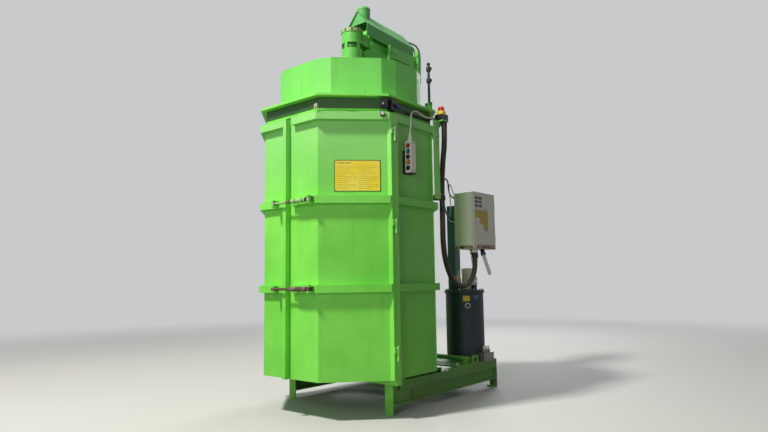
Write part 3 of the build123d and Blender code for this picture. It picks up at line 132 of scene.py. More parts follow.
def scaled(colour, share, lift=0.0):
    # a tint made darker or lighter
    return tuple(min(1.0, share * c + lift) for c in colour[:3]) + (1.0,)


class Nodes:
    # the node tree of one material or world
    def __init__(self, owner, output):
        owner.use_nodes = True
        self.owner, self.tree = owner, owner.node_tree
        self.tree.nodes.clear()
        self.output = self.tree.nodes.new("ShaderNodeOutput" + output)

    def node(self, kind, inputs=None, out=0, **settings):
        made = self.tree.nodes.new("ShaderNode" + kind)
        for setting, value in settings.items():
            setattr(made, setting, value)
        for name, value in (inputs or {}).items():
            if isinstance(value, Flow):
                self.tree.links.new(value.socket, made.inputs[name])
            else:
                made.inputs[name].default_value = value
        return Flow(self, made.outputs[out])

    def end(self, flow):
        self.tree.links.new(flow.socket, self.output.inputs["Surface"])
        return self.owner


class Paint(Nodes):
    # one material, with the nodes that most finishes use
    def __init__(self, name):
        super().__init__(bpy.data.materials.new(name), "Material")
        self.here = self.node("TexCoord", out="Object")
        self.x, self.y, self.z = (self.node("SeparateXYZ", {"Vector": self.here}, axis) for axis in "XYZ")

    def mix(self, share, first, second):
        return self.node("Mix", {0: share, 6: first, 7: second}, 2, data_type="RGBA")

    def cloud(self, scale, detail=3.0, rough=0.55, stretch=None):
        spot = self.node("VectorMath", {0: self.here, 1: stretch}, operation="MULTIPLY") if stretch else self.here
        return self.node("TexNoise", {"Vector": spot, "Scale": scale, "Detail": detail, "Roughness": rough})

    def cells(self, scale):
        return self.node("TexVoronoi", {"Vector": self.here, "Scale": scale})

    def edges(self, radius):
        # 1 on sharp edges, from how far a rounded normal turns away from the face's own
        normals = {0: self.node("Bevel", {"Radius": radius}, samples=4), 1: self.node("NewGeometry", out="True Normal")}
        return (1 - self.node("VectorMath", normals, "Value", operation="DOT_PRODUCT")).ramp(0.02, 0.25)

    def corners(self, reach):
        # 1 in inner corners and under lips, from ambient occlusion
        return (1 - self.node("AmbientOcclusion", {"Distance": reach}, "AO", samples=4)).ramp(0.25, 0.85)

    def relief(self, height, depth, strength=1.0, **under):
        return self.node("Bump", {"Strength": strength, "Distance": depth, "Height": height, **under})

    def shader(self, colour, rough, metal=0.0, **others):
        named = {name.replace("_", " "): value for name, value in others.items()}
        return self.node("BsdfPrincipled", {"Base Color": colour, "Roughness": rough, "Metallic": metal, **named})

    def surface(self, *given, **others):
        return self.end(self.shader(*given, **others))


# finishes
def enamel(name, base, chipShare=0.5, dustTop=0.32, streaks=0.3, sheetWave=0.0035, bands=(), notchShade=None, **changes):
    # brushed-on machine enamel: faded patches, rain streaks, painted shade in corners and under lips, chips at edges;
    # bands are other tints between two places on an axis, and the notches of a ring get painted shade on their floors
    p = Paint(name)
    look = Look({key: tint(value) if key != "gloss" else value for key, value in {**base, **changes}.items()})
    broad = p.cloud(1.7, 3, 0.5)
    blotch = p.cloud(7.0, 4, 0.6)
    rain = p.cloud(2.2, 4, 0.6, (12.0, 12.0, 1.1))
    grit = p.cloud(260.0, 2, 0.6)
    patchy = (0.65 * broad + 0.35 * blotch).ramp(0.36, 0.64)
    colour = p.mix(patchy, look.fresh, look.faded)
    colour = p.mix(streaks * rain.ramp(0.5, 0.8) * blotch.ramp(0.3, 0.7), colour, look.streak)
    for axis, low, high, soft, other, share in bands:
        place = {"y": p.y, "z": p.z}[axis]
        colour = p.mix(share * place.ramp(low - soft, low) * place.ramp(high + soft, high), colour, tint(other))
    # painted shade: the floors of the ring's notches turn near black
    if notchShade:
        ringY, radius, low, high = notchShade
        reach = (p.x * p.x + (p.y - ringY) * (p.y - ringY)) ** 0.5
        notch = reach.ramp(radius, radius - mm) * p.z.ramp(low, low + mm) * p.z.ramp(high, high - mm)
        colour = p.mix(0.9 * notch, colour, look.chip)
    # painted shade: a darker green, in patches, in corners and under lips
    colour = p.mix(0.42 * p.corners(0.035) * blotch.ramp(0.3, 0.6), colour, look.streak)
    settled = p.z.ramp(dustTop, 0.02) * blotch.ramp(0.25, 0.75)
    colour = p.mix(0.45 * settled, colour, look.dust)
    fly = p.cells(46.0).ramp(0.10, 0.05) * p.cloud(5.0, 2).ramp(0.58, 0.66)
    colour = p.mix(0.55 * fly, colour, look.chip)
    rim = p.edges(0.0035)
    flake = p.cloud(34.0, 5, 0.7)
    chips = (rim * flake.ramp(0.60 - 0.1 * chipShare, 0.66)) * p.cloud(2.6, 2).ramp(0.62 - 0.3 * chipShare, 0.62)
    colour = p.mix(chips, colour, p.mix(p.cloud(90.0, 3).ramp(0.4, 0.6), look.chip, look.rust))
    worn = p.mix(0.35 * rim * blotch, colour, look.faded)
    rough = look.gloss + 0.16 * patchy + 0.3 * chips + 0.12 * settled + 0.06 * grit
    dents = p.relief(p.cloud(2.4, 1, 0.4), sheetWave)
    skin = p.relief(p.cloud(170.0, 2, 0.5) + 0.4 * grit - 2.2 * chips, 0.0004, 0.5, Normal=dents)
    return p.surface(worn, rough, Normal=skin, Coat_Roughness=0.2, Coat_Weight=0.12)


def oldSteel(name, bare, rust, rustShare, gloss, scale=1.0, painted=None):
    # mill steel with rust that spreads from the edges and corners; painted above a height
    p, bare, rust = Paint(name), tint(bare), tint(rust)
    blotch = p.cloud(14.0 * scale, 5, 0.65)
    fine = p.cloud(120.0 * scale, 4, 0.7)
    scratch = p.cloud(60.0 * scale, 3, 0.6, (1.0, 7.0, 7.0))
    spread = (blotch + 0.35 * fine + 0.25 * p.corners(0.02)).ramp(0.95 - 0.6 * rustShare, 1.15 - 0.6 * rustShare)
    polish = p.mix(scratch.ramp(0.35, 0.65), bare, scaled(bare, 0.72))
    shine = p.mix(p.edges(0.002), polish, scaled(bare, 1.35))
    colour = p.mix(spread, shine, p.mix(fine.ramp(0.35, 0.65), rust, scaled(rust, 0.45)))
    if painted:
        height, paint = painted
        colour = p.mix(p.z.ramp(height - mm, height), colour, tint(paint))
    pits = p.relief(fine * spread + 0.3 * scratch, 0.0008 / scale, 0.7)
    return p.surface(colour, gloss + 0.45 * spread + 0.1 * scratch, 0.85 - 0.75 * spread, Normal=pits)


def moulded(name, colour, dusty, gloss, scuff=0.35, upper=None):
    # a moulded plastic part, handled and dusty; upper is another colour above a height
    p, colour, dusty = Paint(name), tint(colour), tint(dusty)
    dust = (p.corners(0.008) * 0.7 + 0.5 * p.cloud(24.0, 4, 0.6).ramp(0.5, 0.75)).ramp(0.1, 1.0)
    rubbed = p.edges(0.0012) * p.cloud(150.0, 3).ramp(0.4, 0.6)
    tone = p.mix(scuff * rubbed, colour, scaled(colour, 1.5, 0.03))
    if upper:
        height, other = upper
        tone = p.mix(p.z.ramp(height - 0.5 * mm, height), tone, tint(other))
    tone = p.mix(0.55 * dust, tone, dusty)
    return p.surface(tone, gloss + 0.25 * dust, Normal=p.relief(p.cloud(900.0, 2, 0.5), 0.0001, 0.6))


def hoseSkin(name, colour, dusty, ribbed=False, gloss=0.55):
    # rubber or plastic sheathing with dust on top and scuffs
    p, colour, dusty = Paint(name), tint(colour), tint(dusty)
    scuffs = p.cloud(70.0, 4, 0.7)
    facing = p.node("SeparateXYZ", {"Vector": p.node("NewGeometry", out="Normal")}, "Z")
    dust = (0.45 * facing + p.cloud(22.0, 4, 0.65)).ramp(0.35, 1.0)
    tone = p.mix(0.7 * dust, colour, dusty)
    tone = p.mix(0.5 * scuffs.ramp(0.6, 0.72), tone, dusty)
    weave, depth = (p.cells(420.0), 0.0006) if ribbed else (p.cloud(500.0, 2), 0.0003)
    return p.surface(tone, gloss + 0.2 * dust, Normal=p.relief(weave + 0.5 * scuffs, depth, 0.6))


greenPaint = dict(fresh="71d543", faded="84e551", streak="56ab37", dust="969e78",
                  chip="4e3c2c", rust="784626", gloss=0.36)
tankPaint = dict(fresh="12222a", faded="1c2c34", streak="0c141a", dust="545652",
                 chip="5c5c58", rust="62422c", gloss=0.42)
standPaint = dict(fresh="163e44", faded="224e52", streak="0e262a", dust="646860",
                  chip="505450", rust="603e28", gloss=0.34)
cabinetPaint = dict(fresh="dad8cc", faded="e2dfd2", streak="beb8a6", dust="aaa48e",
                    chip="786c5a", rust="80502c", gloss=0.42)
# bands: axis, low, high and soft edge in metres, tint, share
# painted highlight: the chamber green turns paler toward the top, as the sky lights it
topSkyHighlight = ("z", 1.85, 9.0, 0.75, "a4e290", 0.55)
frameShadow = ("z", 1.785, 1.850, mm, "163612", 0.92)
poleTop = ("z", 1.93, 9.0, 2 * mm, "242422", 0.9)
# painted highlight: the legs' front end plates a brighter green, as if sunlit
legFrontHighlight = ("y", -1.0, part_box("leg_right")[0][1] + 0.012, mm, "84e551", 0.9)
# ring centre, radius, low and high of the head flange's notches, whose floors get painted shade
headSlotShade = (at(0, 45, 0).y, 0.0745, 2.4715, 2.4925)

chamberGreen = enamel("green enamel", greenPaint, 0.9, bands=(topSkyHighlight,))
frameGreen = enamel("green enamel, top frame", greenPaint, 0.8, bands=(frameShadow,))
poleGreen = enamel("green enamel, pole", greenPaint, bands=(poleTop,))
# painted shade: the fixed side and rear walls get a darker copy of the chamber green
sideWallShadeGreen = enamel("green enamel, side walls", greenPaint, bands=(topSkyHighlight,), fresh="63bc38", faded="70c842")
legGreen = enamel("green enamel, knocked", greenPaint, 1.6, 0.45, 0.9, bands=(legFrontHighlight,), fresh="549832",
                  faded="68aa42", streak="46602e", dust="766c50")
collarGreen = enamel("green enamel, collar", greenPaint, 0.35, streaks=0.5, fresh="6acc4f", faded="7ddc5f")
armGreen = enamel("green enamel, arm", greenPaint, 0.7, streaks=0.25, sheetWave=0.001, fresh="63c24a",
                  faded="76d35a", gloss=0.3)
roofGreen = enamel("green enamel, roof", greenPaint, 0.7, streaks=0.45, sheetWave=0.001, fresh="4e9e4a",
                   faded="5eb05e", gloss=0.52)
paleGreen = enamel("pale green enamel", greenPaint, 0.8, sheetWave=0.0004, notchShade=headSlotShade, fresh="96b074",
                   faded="acbe8a", streak="68824c", chip="181e14")
# painted shade: a darker green for the head collars, standing for the shade inside the spindle housing
shadeGreen = enamel("green enamel, grimy", greenPaint, 0.9, streaks=0.6, fresh="458b2e", faded="569d3a",
                    streak="2c5c20")
paintedLatch = enamel("painted latch, chipped", greenPaint, 2.6, streaks=0.9, sheetWave=0.0004, fresh="84be68",
                      faded="96cc7a", streak="54603c", chip="463c2e")
tankBlue = enamel("blue-grey tank paint", tankPaint, 0.6, 0.4, sheetWave=0.0008)
standTeal = enamel("teal mast paint", standPaint, 0.8, sheetWave=0.0008)
cabinetGrey = enamel("cabinet powder coat", cabinetPaint, streaks=0.25, sheetWave=0.0006)
# painted light: the cabinet body gets a lighter copy of the cabinet paint, so its shaded front reads brighter
cabinetBodyLit = enamel("cabinet powder coat, body", cabinetPaint, streaks=0.25, sheetWave=0.0006,
                      fresh="eee6d6", faded="f2ecdc")
rustyLatch = oldSteel("rusty latch steel", "96927e", "685242", 0.72, 0.5, 1.8)
rotorSteel = oldSteel("rotor steel", "78746c", "60402c", 0.5, 0.42, 1.0, (2.2, "38742c"))
wornSteel = oldSteel("worn press steel", "96928a", "6e4630", 0.35, 0.38)
brightSteel = oldSteel("bright steel", "ceced0", "8c6e54", -0.35, 0.16)
zincSteel = oldSteel("zinc-plated steel", "b8b8b0", "8a6848", 0.25, 0.34, 2.0)
brass = oldSteel("brass", "c4a05c", "6e5432", 0.0, 0.3, 2.0)
blackPlastic = moulded("black plastic", "18191a", "605e58", 0.42)
stopPlastic = moulded("stop box plastic", "18191a", "605e58", 0.4, upper=(1.842, "f0ce2c"))
creamPlastic = moulded("cream plastic", "f0ecda", "beb69c", 0.4)
redPlastic = moulded("red plastic", "ca2824", "a0685c", 0.3)
tealPlastic = moulded("teal plastic", "288a8e", "6e8c8a", 0.32)
orangePlastic = moulded("orange plastic", "ee962c", "be9668", 0.32)
yellowPlastic = moulded("yellow plastic", "f0ce2c", "c4b268", 0.32)
whitePlastic = moulded("white plastic", "d6d6d0", "a6a092", 0.38)
bluePlastic = moulded("dark blue plastic", "182646", "545862", 0.4)
conduitRubber = hoseSkin("brown-black conduit", "2c241e", "706252", ribbed=True)
cableGrey = hoseSkin("light grey cable", "e2e6d4", "aaa894")
cableBlack = hoseSkin("black cable", "1a1a1a", "5c5850")
armHoseGrey = hoseSkin("grey hydraulic hose", "92989c", "bab8ac", gloss=0.34)

slotFinish = dict(
    green_paint=chamberGreen, pale_green_paint=paleGreen, blue_grey_paint=tankBlue, teal_paint=standTeal,
    light_grey_paint=cabinetGrey, rusty_steel=rustyLatch, worn_steel=wornSteel, bright_steel=brightSteel,
    black_plastic=blackPlastic, cream_plastic=creamPlastic, red_plastic=redPlastic, teal_plastic=tealPlastic,
    orange_plastic=orangePlastic, hose_rubber=conduitRubber, grey_cable=cableGrey)
nodeFinish = {node: finish for finish, nodes in (
    (legGreen, "leg_right leg_left base_plate tie_tube bearer_front bearer_rear"),
    (sideWallShadeGreen, "wall_side_left wall_side_right wall_corner_left wall_corner_right wall_rear"),
    (armGreen, "upper_beam lower_beam mast_fork mast_cheek_left mast_cheek_right spindle_housing"),
    (collarGreen, "collar"), (roofGreen, "roof_cover"), (cabinetBodyLit, "cabinet_body"), (poleGreen, "bracket_pole"),
    (paintedLatch, "latch_upper"), (frameGreen, "top_frame"), (stopPlastic, "estop_base"), (rotorSteel, "rotor_shaft"),
) for node in nodes.split()}
nodeSlot = {part["node"]: part["material_slot"] for part in frame["record"]["subparts"]}
for nodeName, shown in frame["nodes"].items():
    shown.data.materials.clear()
    shown.data.materials.append(nodeFinish.get(nodeName) or slotFinish[nodeSlot[nodeName]])
print("finishes made and laid on the nodes")


# shape kit: each maker adds to the mesh in hand, and piece() names it and lays it on a body;
# places are in metres as at() gives them, sizes in millimetres
inHand = bmesh.new()


def meshed(name, finish, sharpAngle=None):
    # the mesh in hand as an object, with an empty one in hand after it
    global inHand
    bmesh.ops.recalc_face_normals(inHand, faces=inHand.faces)
    mesh = bpy.data.meshes.new(name)
    inHand.to_mesh(mesh)
    inHand.free()
    inHand = bmesh.new()
    mesh.materials.append(finish)
    mesh.shade_smooth()
    if sharpAngle:
        mesh.set_sharp_from_angle(angle=math.radians(sharpAngle))
    return placed(name, mesh)


def piece(name, finish, body="frame", sharpAngle=35):
    made = meshed(name, finish, sharpAngle)
    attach(made, body)


def frameOf(place, axis, across=None):
    # a matrix whose z runs along axis
    z = Vector(axis).normalized()
    hint = Vector(across) if across else (up if abs(z.z) < 0.9 else east)
    x = (hint - hint.dot(z) * z).normalized()
    return Matrix.Translation(place) @ Matrix((x, z.cross(x), z)).transposed().to_4x4()


def circle(radius, steps):
    angles = [2 * math.pi * i / steps for i in range(steps)]
    return [(radius * math.cos(angle), radius * math.sin(angle)) for angle in angles]


def skinned(rings, hollow=False):
    # faces between rings of places, with caps at both ends; hollow joins the ends up instead
    rings = [[inHand.verts.new(spot) for spot in ring] for ring in rings]
    for lower, upper in zip(rings, rings[1:] + rings[:1] if hollow else rings[1:]):
        for i, (a, b) in enumerate(zip(lower, upper)):
            inHand.faces.new((lower[i - 1], a, b, upper[i - 1]))
    if not hollow:
        inHand.faces.new(rings[0][::-1])
        inHand.faces.new(rings[-1])


def block(low, high, softness=0.8, turn=None):
    # an eased block between two corners; turn swings it round its middle
    size = high - low
    added = bmesh.ops.create_cube(inHand, size=1.0)["verts"]
    bmesh.ops.scale(inHand, vec=size, verts=added)
    edges = list({e for v in added for e in v.link_edges})
    easing = min(softness * mm, min(size) * 0.45)
    eased = bmesh.ops.bevel(inHand, geom=edges, offset=easing, segments=2, affect="EDGES")
    verts = list({v for f in eased["faces"] for v in f.verts})
    whole = Matrix.Translation((low + high) / 2) @ (turn or Matrix.Identity(4))
    bmesh.ops.transform(inHand, matrix=whole, verts=verts)


def turned(outline, place, axis=up, steps=28, hollow=False):
    # a lathed form: outline is (radius, distance along the axis) from one end to the other
    base = frameOf(place, axis)
    skinned([[base @ Vector((u, v, along * mm)) for u, v in circle(radius * mm, steps)]
             for radius, along in outline], hollow)


def hexBolt(place, axis, across, height, washer=True):
    # a hexagon head with its chamfer, on a washer
    if washer:
        turned([(across * 0.72, 0), (across * 0.72, 1.2), (across * 0.69, 1.6)], place, axis, 24)
    start, radius = 1.6 * washer, across / math.sqrt(3)
    turned([(radius, start), (radius, start + height * 0.85), (radius * 0.86, start + height)], place, axis, 6)


def dome(place, axis, radius, height):
    # a rivet or button head
    turned([(radius * math.cos(a), height * math.sin(a)) for a in (0, 0.35, 0.7, 1.05, 1.35)], place, axis, 20)


def extruded(outline, place, axis, across, depth):
    # a flat plate cut to an outline, with its thickness along the axis
    base = frameOf(place, axis, across)
    skinned([[base @ Vector((u * mm, v * mm, w * mm)) for u, v in outline] for w in (0, depth)])


def oblong(left, low, right, high):
    return [(left, low), (right, low), (right, high), (left, high)]


def bead(points, radius, ripple=0.12, pitch=4.0, sides=8):
    # a weld bead or rod along straight runs, rippled as a hand weld is
    for start, end in zip(points, points[1:]):
        run = end - start
        base = frameOf(start, run)
        steps = max(2, int(run.length / (pitch * mm)))
        rings = []
        for i in range(steps + 1):
            swell = radius * mm * (1 + ripple * math.sin(i * 2.1) + 0.5 * ripple * math.sin(i * 0.83 + 1.3))
            rings.append([base @ Vector((u, v, run.length * i / steps)) for u, v in circle(swell, sides)])
        skinned(rings)


def threaded(start, axis, radius, length, pitch=3):
    # a screw thread, as ridges on a rod
    ridges = [(radius * share, pitch * (i + lead)) for i in range(math.ceil(length / pitch))
              for share, lead in ((0.9, 0), (1, 0.5))]
    turned(ridges + [(radius * 0.9, length)], start, axis, 20)


def curved(name, points):
    line = bpy.data.curves.new(name, "CURVE")
    line.dimensions = "3D"
    spline = line.splines.new("NURBS")
    spline.points.add(len(points) - 1)
    for point, spot in zip(spline.points, points):
        point.co = (*spot, 1.0)
    spline.use_endpoint_u = True
    spline.order_u = 3
    spline.resolution_u = 10
    return placed(name, line)


def routeOf(points):
    # the smooth line of a route, as Blender draws its curve, and its length
    drawn = curved("route", points)
    bpy.context.view_layer.update()
    mesh = bpy.data.meshes.new_from_object(drawn.evaluated_get(bpy.context.evaluated_depsgraph_get()))
    found = [v.co.copy() for v in mesh.vertices]
    bpy.data.curves.remove(drawn.data)
    bpy.data.meshes.remove(mesh)
    return found, sum((b - a).length for a, b in zip(found, found[1:]))


def sleeve(route, radius, sides=16):
    # a round tube along a route that doesn't set out along x
    rings, across, last = [], east, len(route) - 1
    for i, spot in enumerate(route):
        ahead = (route[min(last, i + 1)] - route[max(0, i - 1)]).normalized()
        across = (across - across.dot(ahead) * ahead).normalized()
        upward = ahead.cross(across)
        rings.append([spot + u * across + v * upward for u, v in circle(radius * mm, sides)])
    skinned(rings)


# hoses and cables on the frame, the first two on the routes of the solid tubes
cords = {
    "conduitHose": Look(
        node="conduit_hose", diameter=36, length=1.58, finish=conduitRubber, stiffness="stiff",
        route=((578, 290, 1795), (578, 290, 1720), (566, 303, 1640), (533, 334, 1560), (506, 356, 1450),
                  (500, 360, 1310), (503, 357, 1160), (494, 368, 1020), (482, 408, 900), (468, 485, 798),
                  (456, 580, 742), (450, 680, 732), (446, 770, 762), (441, 832, 825), (440, 850, 900),
                  (440, 850, 970))),
    "pendantCable": Look(
        node="pendant_cable", diameter=10, length=0.447, finish=cableGrey, lay="loose",
        route=((547.65, -37.5, 1635), (547.65, -37.5, 1672), (559, -42, 1712), (564, -48, 1758), (557, -26, 1800),
                  (547, 30, 1820), (542, 90, 1810), (540, 150, 1801), (542, 202, 1814), (542, 247, 1814))),
    "motorCable": Look(
        diameter=9, finish=cableGrey,
        route=((375, 910, 970), (375, 910, 938), (384, 900, 905), (386, 915, 870), (380, 935, 830),
                  (368, 935, 812), (368, 935, 799))),
    "loopBlack": Look(
        diameter=10, finish=cableBlack,
        route=((335, 775, 1372), (302, 775, 1374), (285, 762, 1420), (292, 748, 1500), (268, 742, 1522),
                  (250, 740, 1460), (252, 740, 1380), (262, 742, 1300), (274, 752, 1240), (300, 775, 1214),
                  (335, 775, 1214))),
    "loopPale": Look(
        diameter=7, finish=cableGrey,
        route=((335, 793, 1384), (310, 792, 1398), (300, 784, 1440), (296, 772, 1474), (288, 764, 1468),
                  (290, 760, 1420), (301, 758, 1370), (304, 758, 1310), (296, 760, 1262), (280, 764, 1230),
                  (276, 776, 1208), (300, 790, 1196), (335, 790, 1196))),
}
armHoses = Look(
    diameter=14,
    route=((12, 618, 2600.5), (12, 680, 2600.5), (16, 742, 2606), (20, 788, 2582), (20, 805, 2530),
           (20, 806, 2450), (20, 800, 2375), (20, 778, 2300), (20, 748, 2235), (20, 727.5, 2185),
           (20, 727.5, 2140)),
)


def layCord(name, look):
    route = [at(*spot) for spot in look.route]
    hose = curved(name, route)
    hose.data.bevel_depth = look.diameter / 2 * mm
    hose.data.bevel_resolution = 5
    hose.data.use_fill_caps = True
    hose.data.materials.append(look.finish)
    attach(hose, "frame")
    if "node" in look:
        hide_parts(look.node)
    look.get("length") or routeOf(route)[1]


for cordName in ("conduitHose", "pendantCable"):
    layCord(cordName, cords[cordName])
for nodeName, hand in (("arm_hose_right", 1), ("arm_hose_left", -1)):
    route, length = routeOf([at(hand * x, y, z) for x, y, z in armHoses.route])
    sleeve(route, armHoses.diameter / 2)
    armHose = meshed(nodeName + "Skin", armHoseGrey)
    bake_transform(armHose)
    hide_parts(nodeName)
print("hoses and cables laid")


# chamber outside: instruction plate, seams and stitch welds, hinge screws, latch fittings
chamber = Look(
    corners=((237, -510), (522, -225), (522, 225), (237, 510), (-237, 510), (-522, 225), (-522, -225), (-237, -510)),
    bandTops=(759, 1266), bandHeight=44, stitchLength=26, stitchPitch=118, stitchRadius=2.2,
    seamHeights=(222, 1754),
)
plate = Look(
    along=94,                # from the door's bend, in millimetres
    bottom=1292, width=268, height=184, thickness=1.4, rivetInset=8,
    ruleGap=0.0115, margin=0.012, edge=0.004,
    yellow=tint("fae034"), faded=tint("fce86e"), ink=tint("5c541e"), border=tint("282822"),
)
slantRun = Vector((1, 1, 0)).normalized()
slantOut = Vector((1, -1, 0)).normalized()


def slopeAt(along, out, z):
    # a place by the right corner panel: along is x + y and out is x - y, in millimetres
    return at((along + out) / 2, (along - out) / 2, z)


def printedPlate(look, foot):
    # yellow enamelled plate with a dark border and two columns of plain ruled rows
    p = Paint("instruction plate")
    along, rise = (p.x + p.y - (foot.x + foot.y)) * math.sqrt(0.5), p.z - foot.z
    width, height, margin, edge = look.width * mm, look.height * mm, look.margin, look.edge
    row = rise.wrapped(look.ruleGap)
    ragged = p.node("TexNoise", {"W": (rise - row) * 310.0, "Scale": 1.0, "Detail": 0.0}, noise_dimensions="1D")
    column = (along - margin).wrapped(width / 2 - margin / 2)
    ruled = (row > 0.0035) * (row < 0.0062) * (column < ragged * 0.16 + 0.03) * (rise > margin)
    ruled = ruled * (rise < height - 0.03) * (along > margin) * (along < width - margin)
    headRow = (rise > height - 0.022) * (rise < height - 0.012) * (along > 0.014) * (along < width * 0.36)
    border = ((along < edge) + (along > width - edge) + (rise < edge) + (rise > height - edge)).ramp(0, 0.5)
    worn = p.cloud(60.0, 4, 0.65)
    colour = p.mix(0.5 * p.cloud(9.0, 4).ramp(0.4, 0.7), look.yellow, look.faded)
    colour = p.mix((ruled + 0.8 * headRow) * worn.ramp(0.28, 0.5) * 0.55, colour, look.ink)
    colour = p.mix(border, colour, look.border)
    return p.surface(colour, 0.34 + 0.2 * worn, Normal=p.relief(worn, 0.0002, 0.4))


plateFoot = at(*chamber.corners[0], plate.bottom) + slantRun * plate.along * mm
extruded(oblong(0, 0, plate.width, plate.height), plateFoot, slantOut, slantRun, plate.thickness)
piece("instructionPlate", printedPlate(plate, plateFoot), "door_right")
for u in (plate.rivetInset, plate.width - plate.rivetInset):
    for v in (plate.rivetInset, plate.height - plate.rivetInset):
        dome(plateFoot + (slantRun * u + up * v + slantOut * plate.thickness) * mm, slantOut, 3.2, 1.6)
piece("plateRivets", zincSteel, "door_right")


def stitches(name, body, runs):
    # short weld beads along the upper and lower edges of the channel bands
    half = chamber.stitchLength / 2
    for (x0, y0), (x1, y1) in runs:
        run = math.hypot(x1 - x0, y1 - y0)
        count = int((run - 40) / chamber.stitchPitch) + 1
        for i in range(count):
            middle = 30 + (run - 60) * (i + 0.5) / count
            shares = [(middle - half) / run, (middle + half) / run]
            for top in chamber.bandTops:
                for z in (top, top - chamber.bandHeight):
                    ends = [at(x0 + (x1 - x0) * s, y0 + (y1 - y0) * s, z) for s in shares]
                    bead(ends, chamber.stitchRadius, pitch=5, sides=6)
    piece(name, chamberGreen, body)


corners = chamber.corners
stitches("doorRightWelds", "door_right", [((36, -510), corners[0]), corners[:2]])
stitches("doorLeftWelds", "door_left", [(corners[7], (-36, -510)), corners[6:]])
behind = [(522, -160), *corners[2:6], (-522, -160)]
stitches("wallWelds", "frame", list(zip(behind, behind[1:])))
for x, y in corners[2:6]:
    bead([at(x * 0.9995, y * 0.9995, z) for z in chamber.seamHeights], 3.2, 0.08, 20)
piece("cornerWelds", chamberGreen)

hinge = Look(x=562, y=-201.5, heights=(1630, 1090, 370), length=80, leafOut=556)
for hand, side, door in ((1, "Right", "door_right"), (-1, "Left", "door_left")):
    for name, body, reach, drops in (("Post", "frame", 27, (-26, -10)), ("Door", door, -16, (10, 26))):
        for middle in hinge.heights:
            for drop in drops:
                hexBolt(at(hand * hinge.leafOut, hinge.y + reach, middle + drop), (hand, 0, 0), 8, 4)
            if body == "frame":
                ends = [at(hand * hinge.x, hinge.y, middle + way * hinge.length / 2) for way in hands]
                dome(ends[0], up, 3.6, 3)
                turned([(7.5, -1), (7.5, 0)], ends[1], up, 20)
        piece("hingeScrews" + name + side, zincSteel, body)

latchFit = Look(pivotX=222, catchX=-85, y=-567, tube=(85, 195), threadRadius=7.7,
                heights={"latch_lower_arm": 737, "latch_upper_arm": 1244})
latchY, (tubeLeft, tubeRight) = latchFit.y, latchFit.tube
for latchBody, z in latchFit.heights.items():
    threaded(at(tubeLeft - 60, latchY, z), east, latchFit.threadRadius, 47)
    threaded(at(tubeRight, latchY, z), east, latchFit.threadRadius, 12)
    hexBolt(at(tubeLeft - 26, latchY, z), east, 24, 9, False)
    hexBolt(at(tubeRight + 1, latchY, z), east, 25.5, 6, False)
    for share in (0.22, 0.78):
        x = tubeLeft + share * (tubeRight - tubeLeft)
        turned([(14.3, 0), (14.7, 2), (14.7, 6), (14.3, 8)], at(x, latchY, z), east)
    for x in (latchFit.pivotX - 14, latchFit.catchX + 14):
        turned([(8.6, -4), (9.4, 0), (8.6, 4)], at(x, latchY, z), east, 24)
    bead([at(140, latchY - 9, z - 7), at(140, latchY - 11, z - 15), at(140, latchY - 10, z - 18)], 3, 0.02, sides=10)
    piece("turnbuckle" + latchBody.split("_")[1].title(), rustyLatch, latchBody)
for z in latchFit.heights.values():
    top = at(latchFit.pivotX, latchY, z + 19)
    turned([(10.5, 0), (10.5, 1.5), (8.5, 4), (3, 5)], top)
    bead([top + mm * Vector(spot) for spot in ((-12, 0, 0.6), (13, 2, 0.6), (16.5, 6, -4))], 1.3, 0)
piece("latchPins", rustyLatch, "door_right")
print("chamber pieces made")


# top frame and collar: corner tab, weld rings, the collar's seam
def cutCorners(points, cut):
    # every corner of a ring of points taken off by the same measure along both edges
    kept = []
    for i, corner in enumerate(points):
        here = Vector(corner)
        for other in (points[i - 1], points[(i + 1) % len(points)]):
            kept.append(tuple(here + (Vector(other) - here).normalized() * cut))
    return kept


collar = Look(halfWidth=484, halfDepth=452, middleY=20, cut=291, facet=53, foot=1868, top=2125, seamY=25)
w, d, m = collar.halfWidth, collar.halfDepth, collar.middleY
ring = cutCorners(cutCorners([(-w, m - d), (w, m - d), (w, m + d), (-w, m + d)], collar.cut), collar.facet)
ring.append(ring[0])
bead([at(x, y, collar.foot + 0.5) for x, y in ring], 4.2, 0.22, 6)
bead([at(w + 0.4, collar.seamY, z) for z in (collar.foot + 3, collar.top - 1)], 2.6, 0.14, 6)
piece("collarWelds", collarGreen)
bead([at(x * 0.996, (y - m) * 0.996 + m, collar.top - 2.6) for x, y in ring], 2.6, 0, 200)
piece("collarLip", collarGreen)
block(at(236, -540, 1766), at(262, -534, 1801))
hexBolt(at(249, -540, 1784), (0, -1, 0), 10, 5)
piece("frameTab", paleGreen)
print("top frame and collar pieces made")


# controls: door switch with its lever and cover, pendant fittings, emergency stop, guard screws
doorSwitch = Look(side=550, low=(-215, 1776), high=(-165, 1838), gland=(533, -143, 1813),
                  head=(270, 738, 1812), knob=(264, 777, 1803), striker=(257, 796, 1743),
                  cover=(-160, 1802), coverHalf=(36, 15), coverLine=(0, 1, -0.16))
(lowY, lowZ), (highY, highZ) = doorSwitch.low, doorSwitch.high
faceX = doorSwitch.side + 2.4
knob, striker = slopeAt(*doorSwitch.knob), slopeAt(*doorSwitch.striker)
block(at(doorSwitch.side - 1, lowY + 3, lowZ + 3), at(faceX, highY - 3, highZ - 3), 1.2)
extruded(oblong(-24, -28, 24, 28), slopeAt(*doorSwitch.head), slantOut, slantRun, 28)
turned([(13.5, 0), (13.5, 9), (11, 12)], knob, slantOut)
turned([(12, 0), (12.5, 4), (12.5, 14), (9.5, 18)], at(*doorSwitch.gland), (0, 1, 0), 20)
piece("switchBody", blackPlastic)
extruded(oblong(-13, -16, 13, 18), striker, slantOut, slantRun, 5)
turned([(13, 5), (13, 7), (6, 8)], striker, slantOut)
piece("strikerPlate", blackPlastic, "door_right")
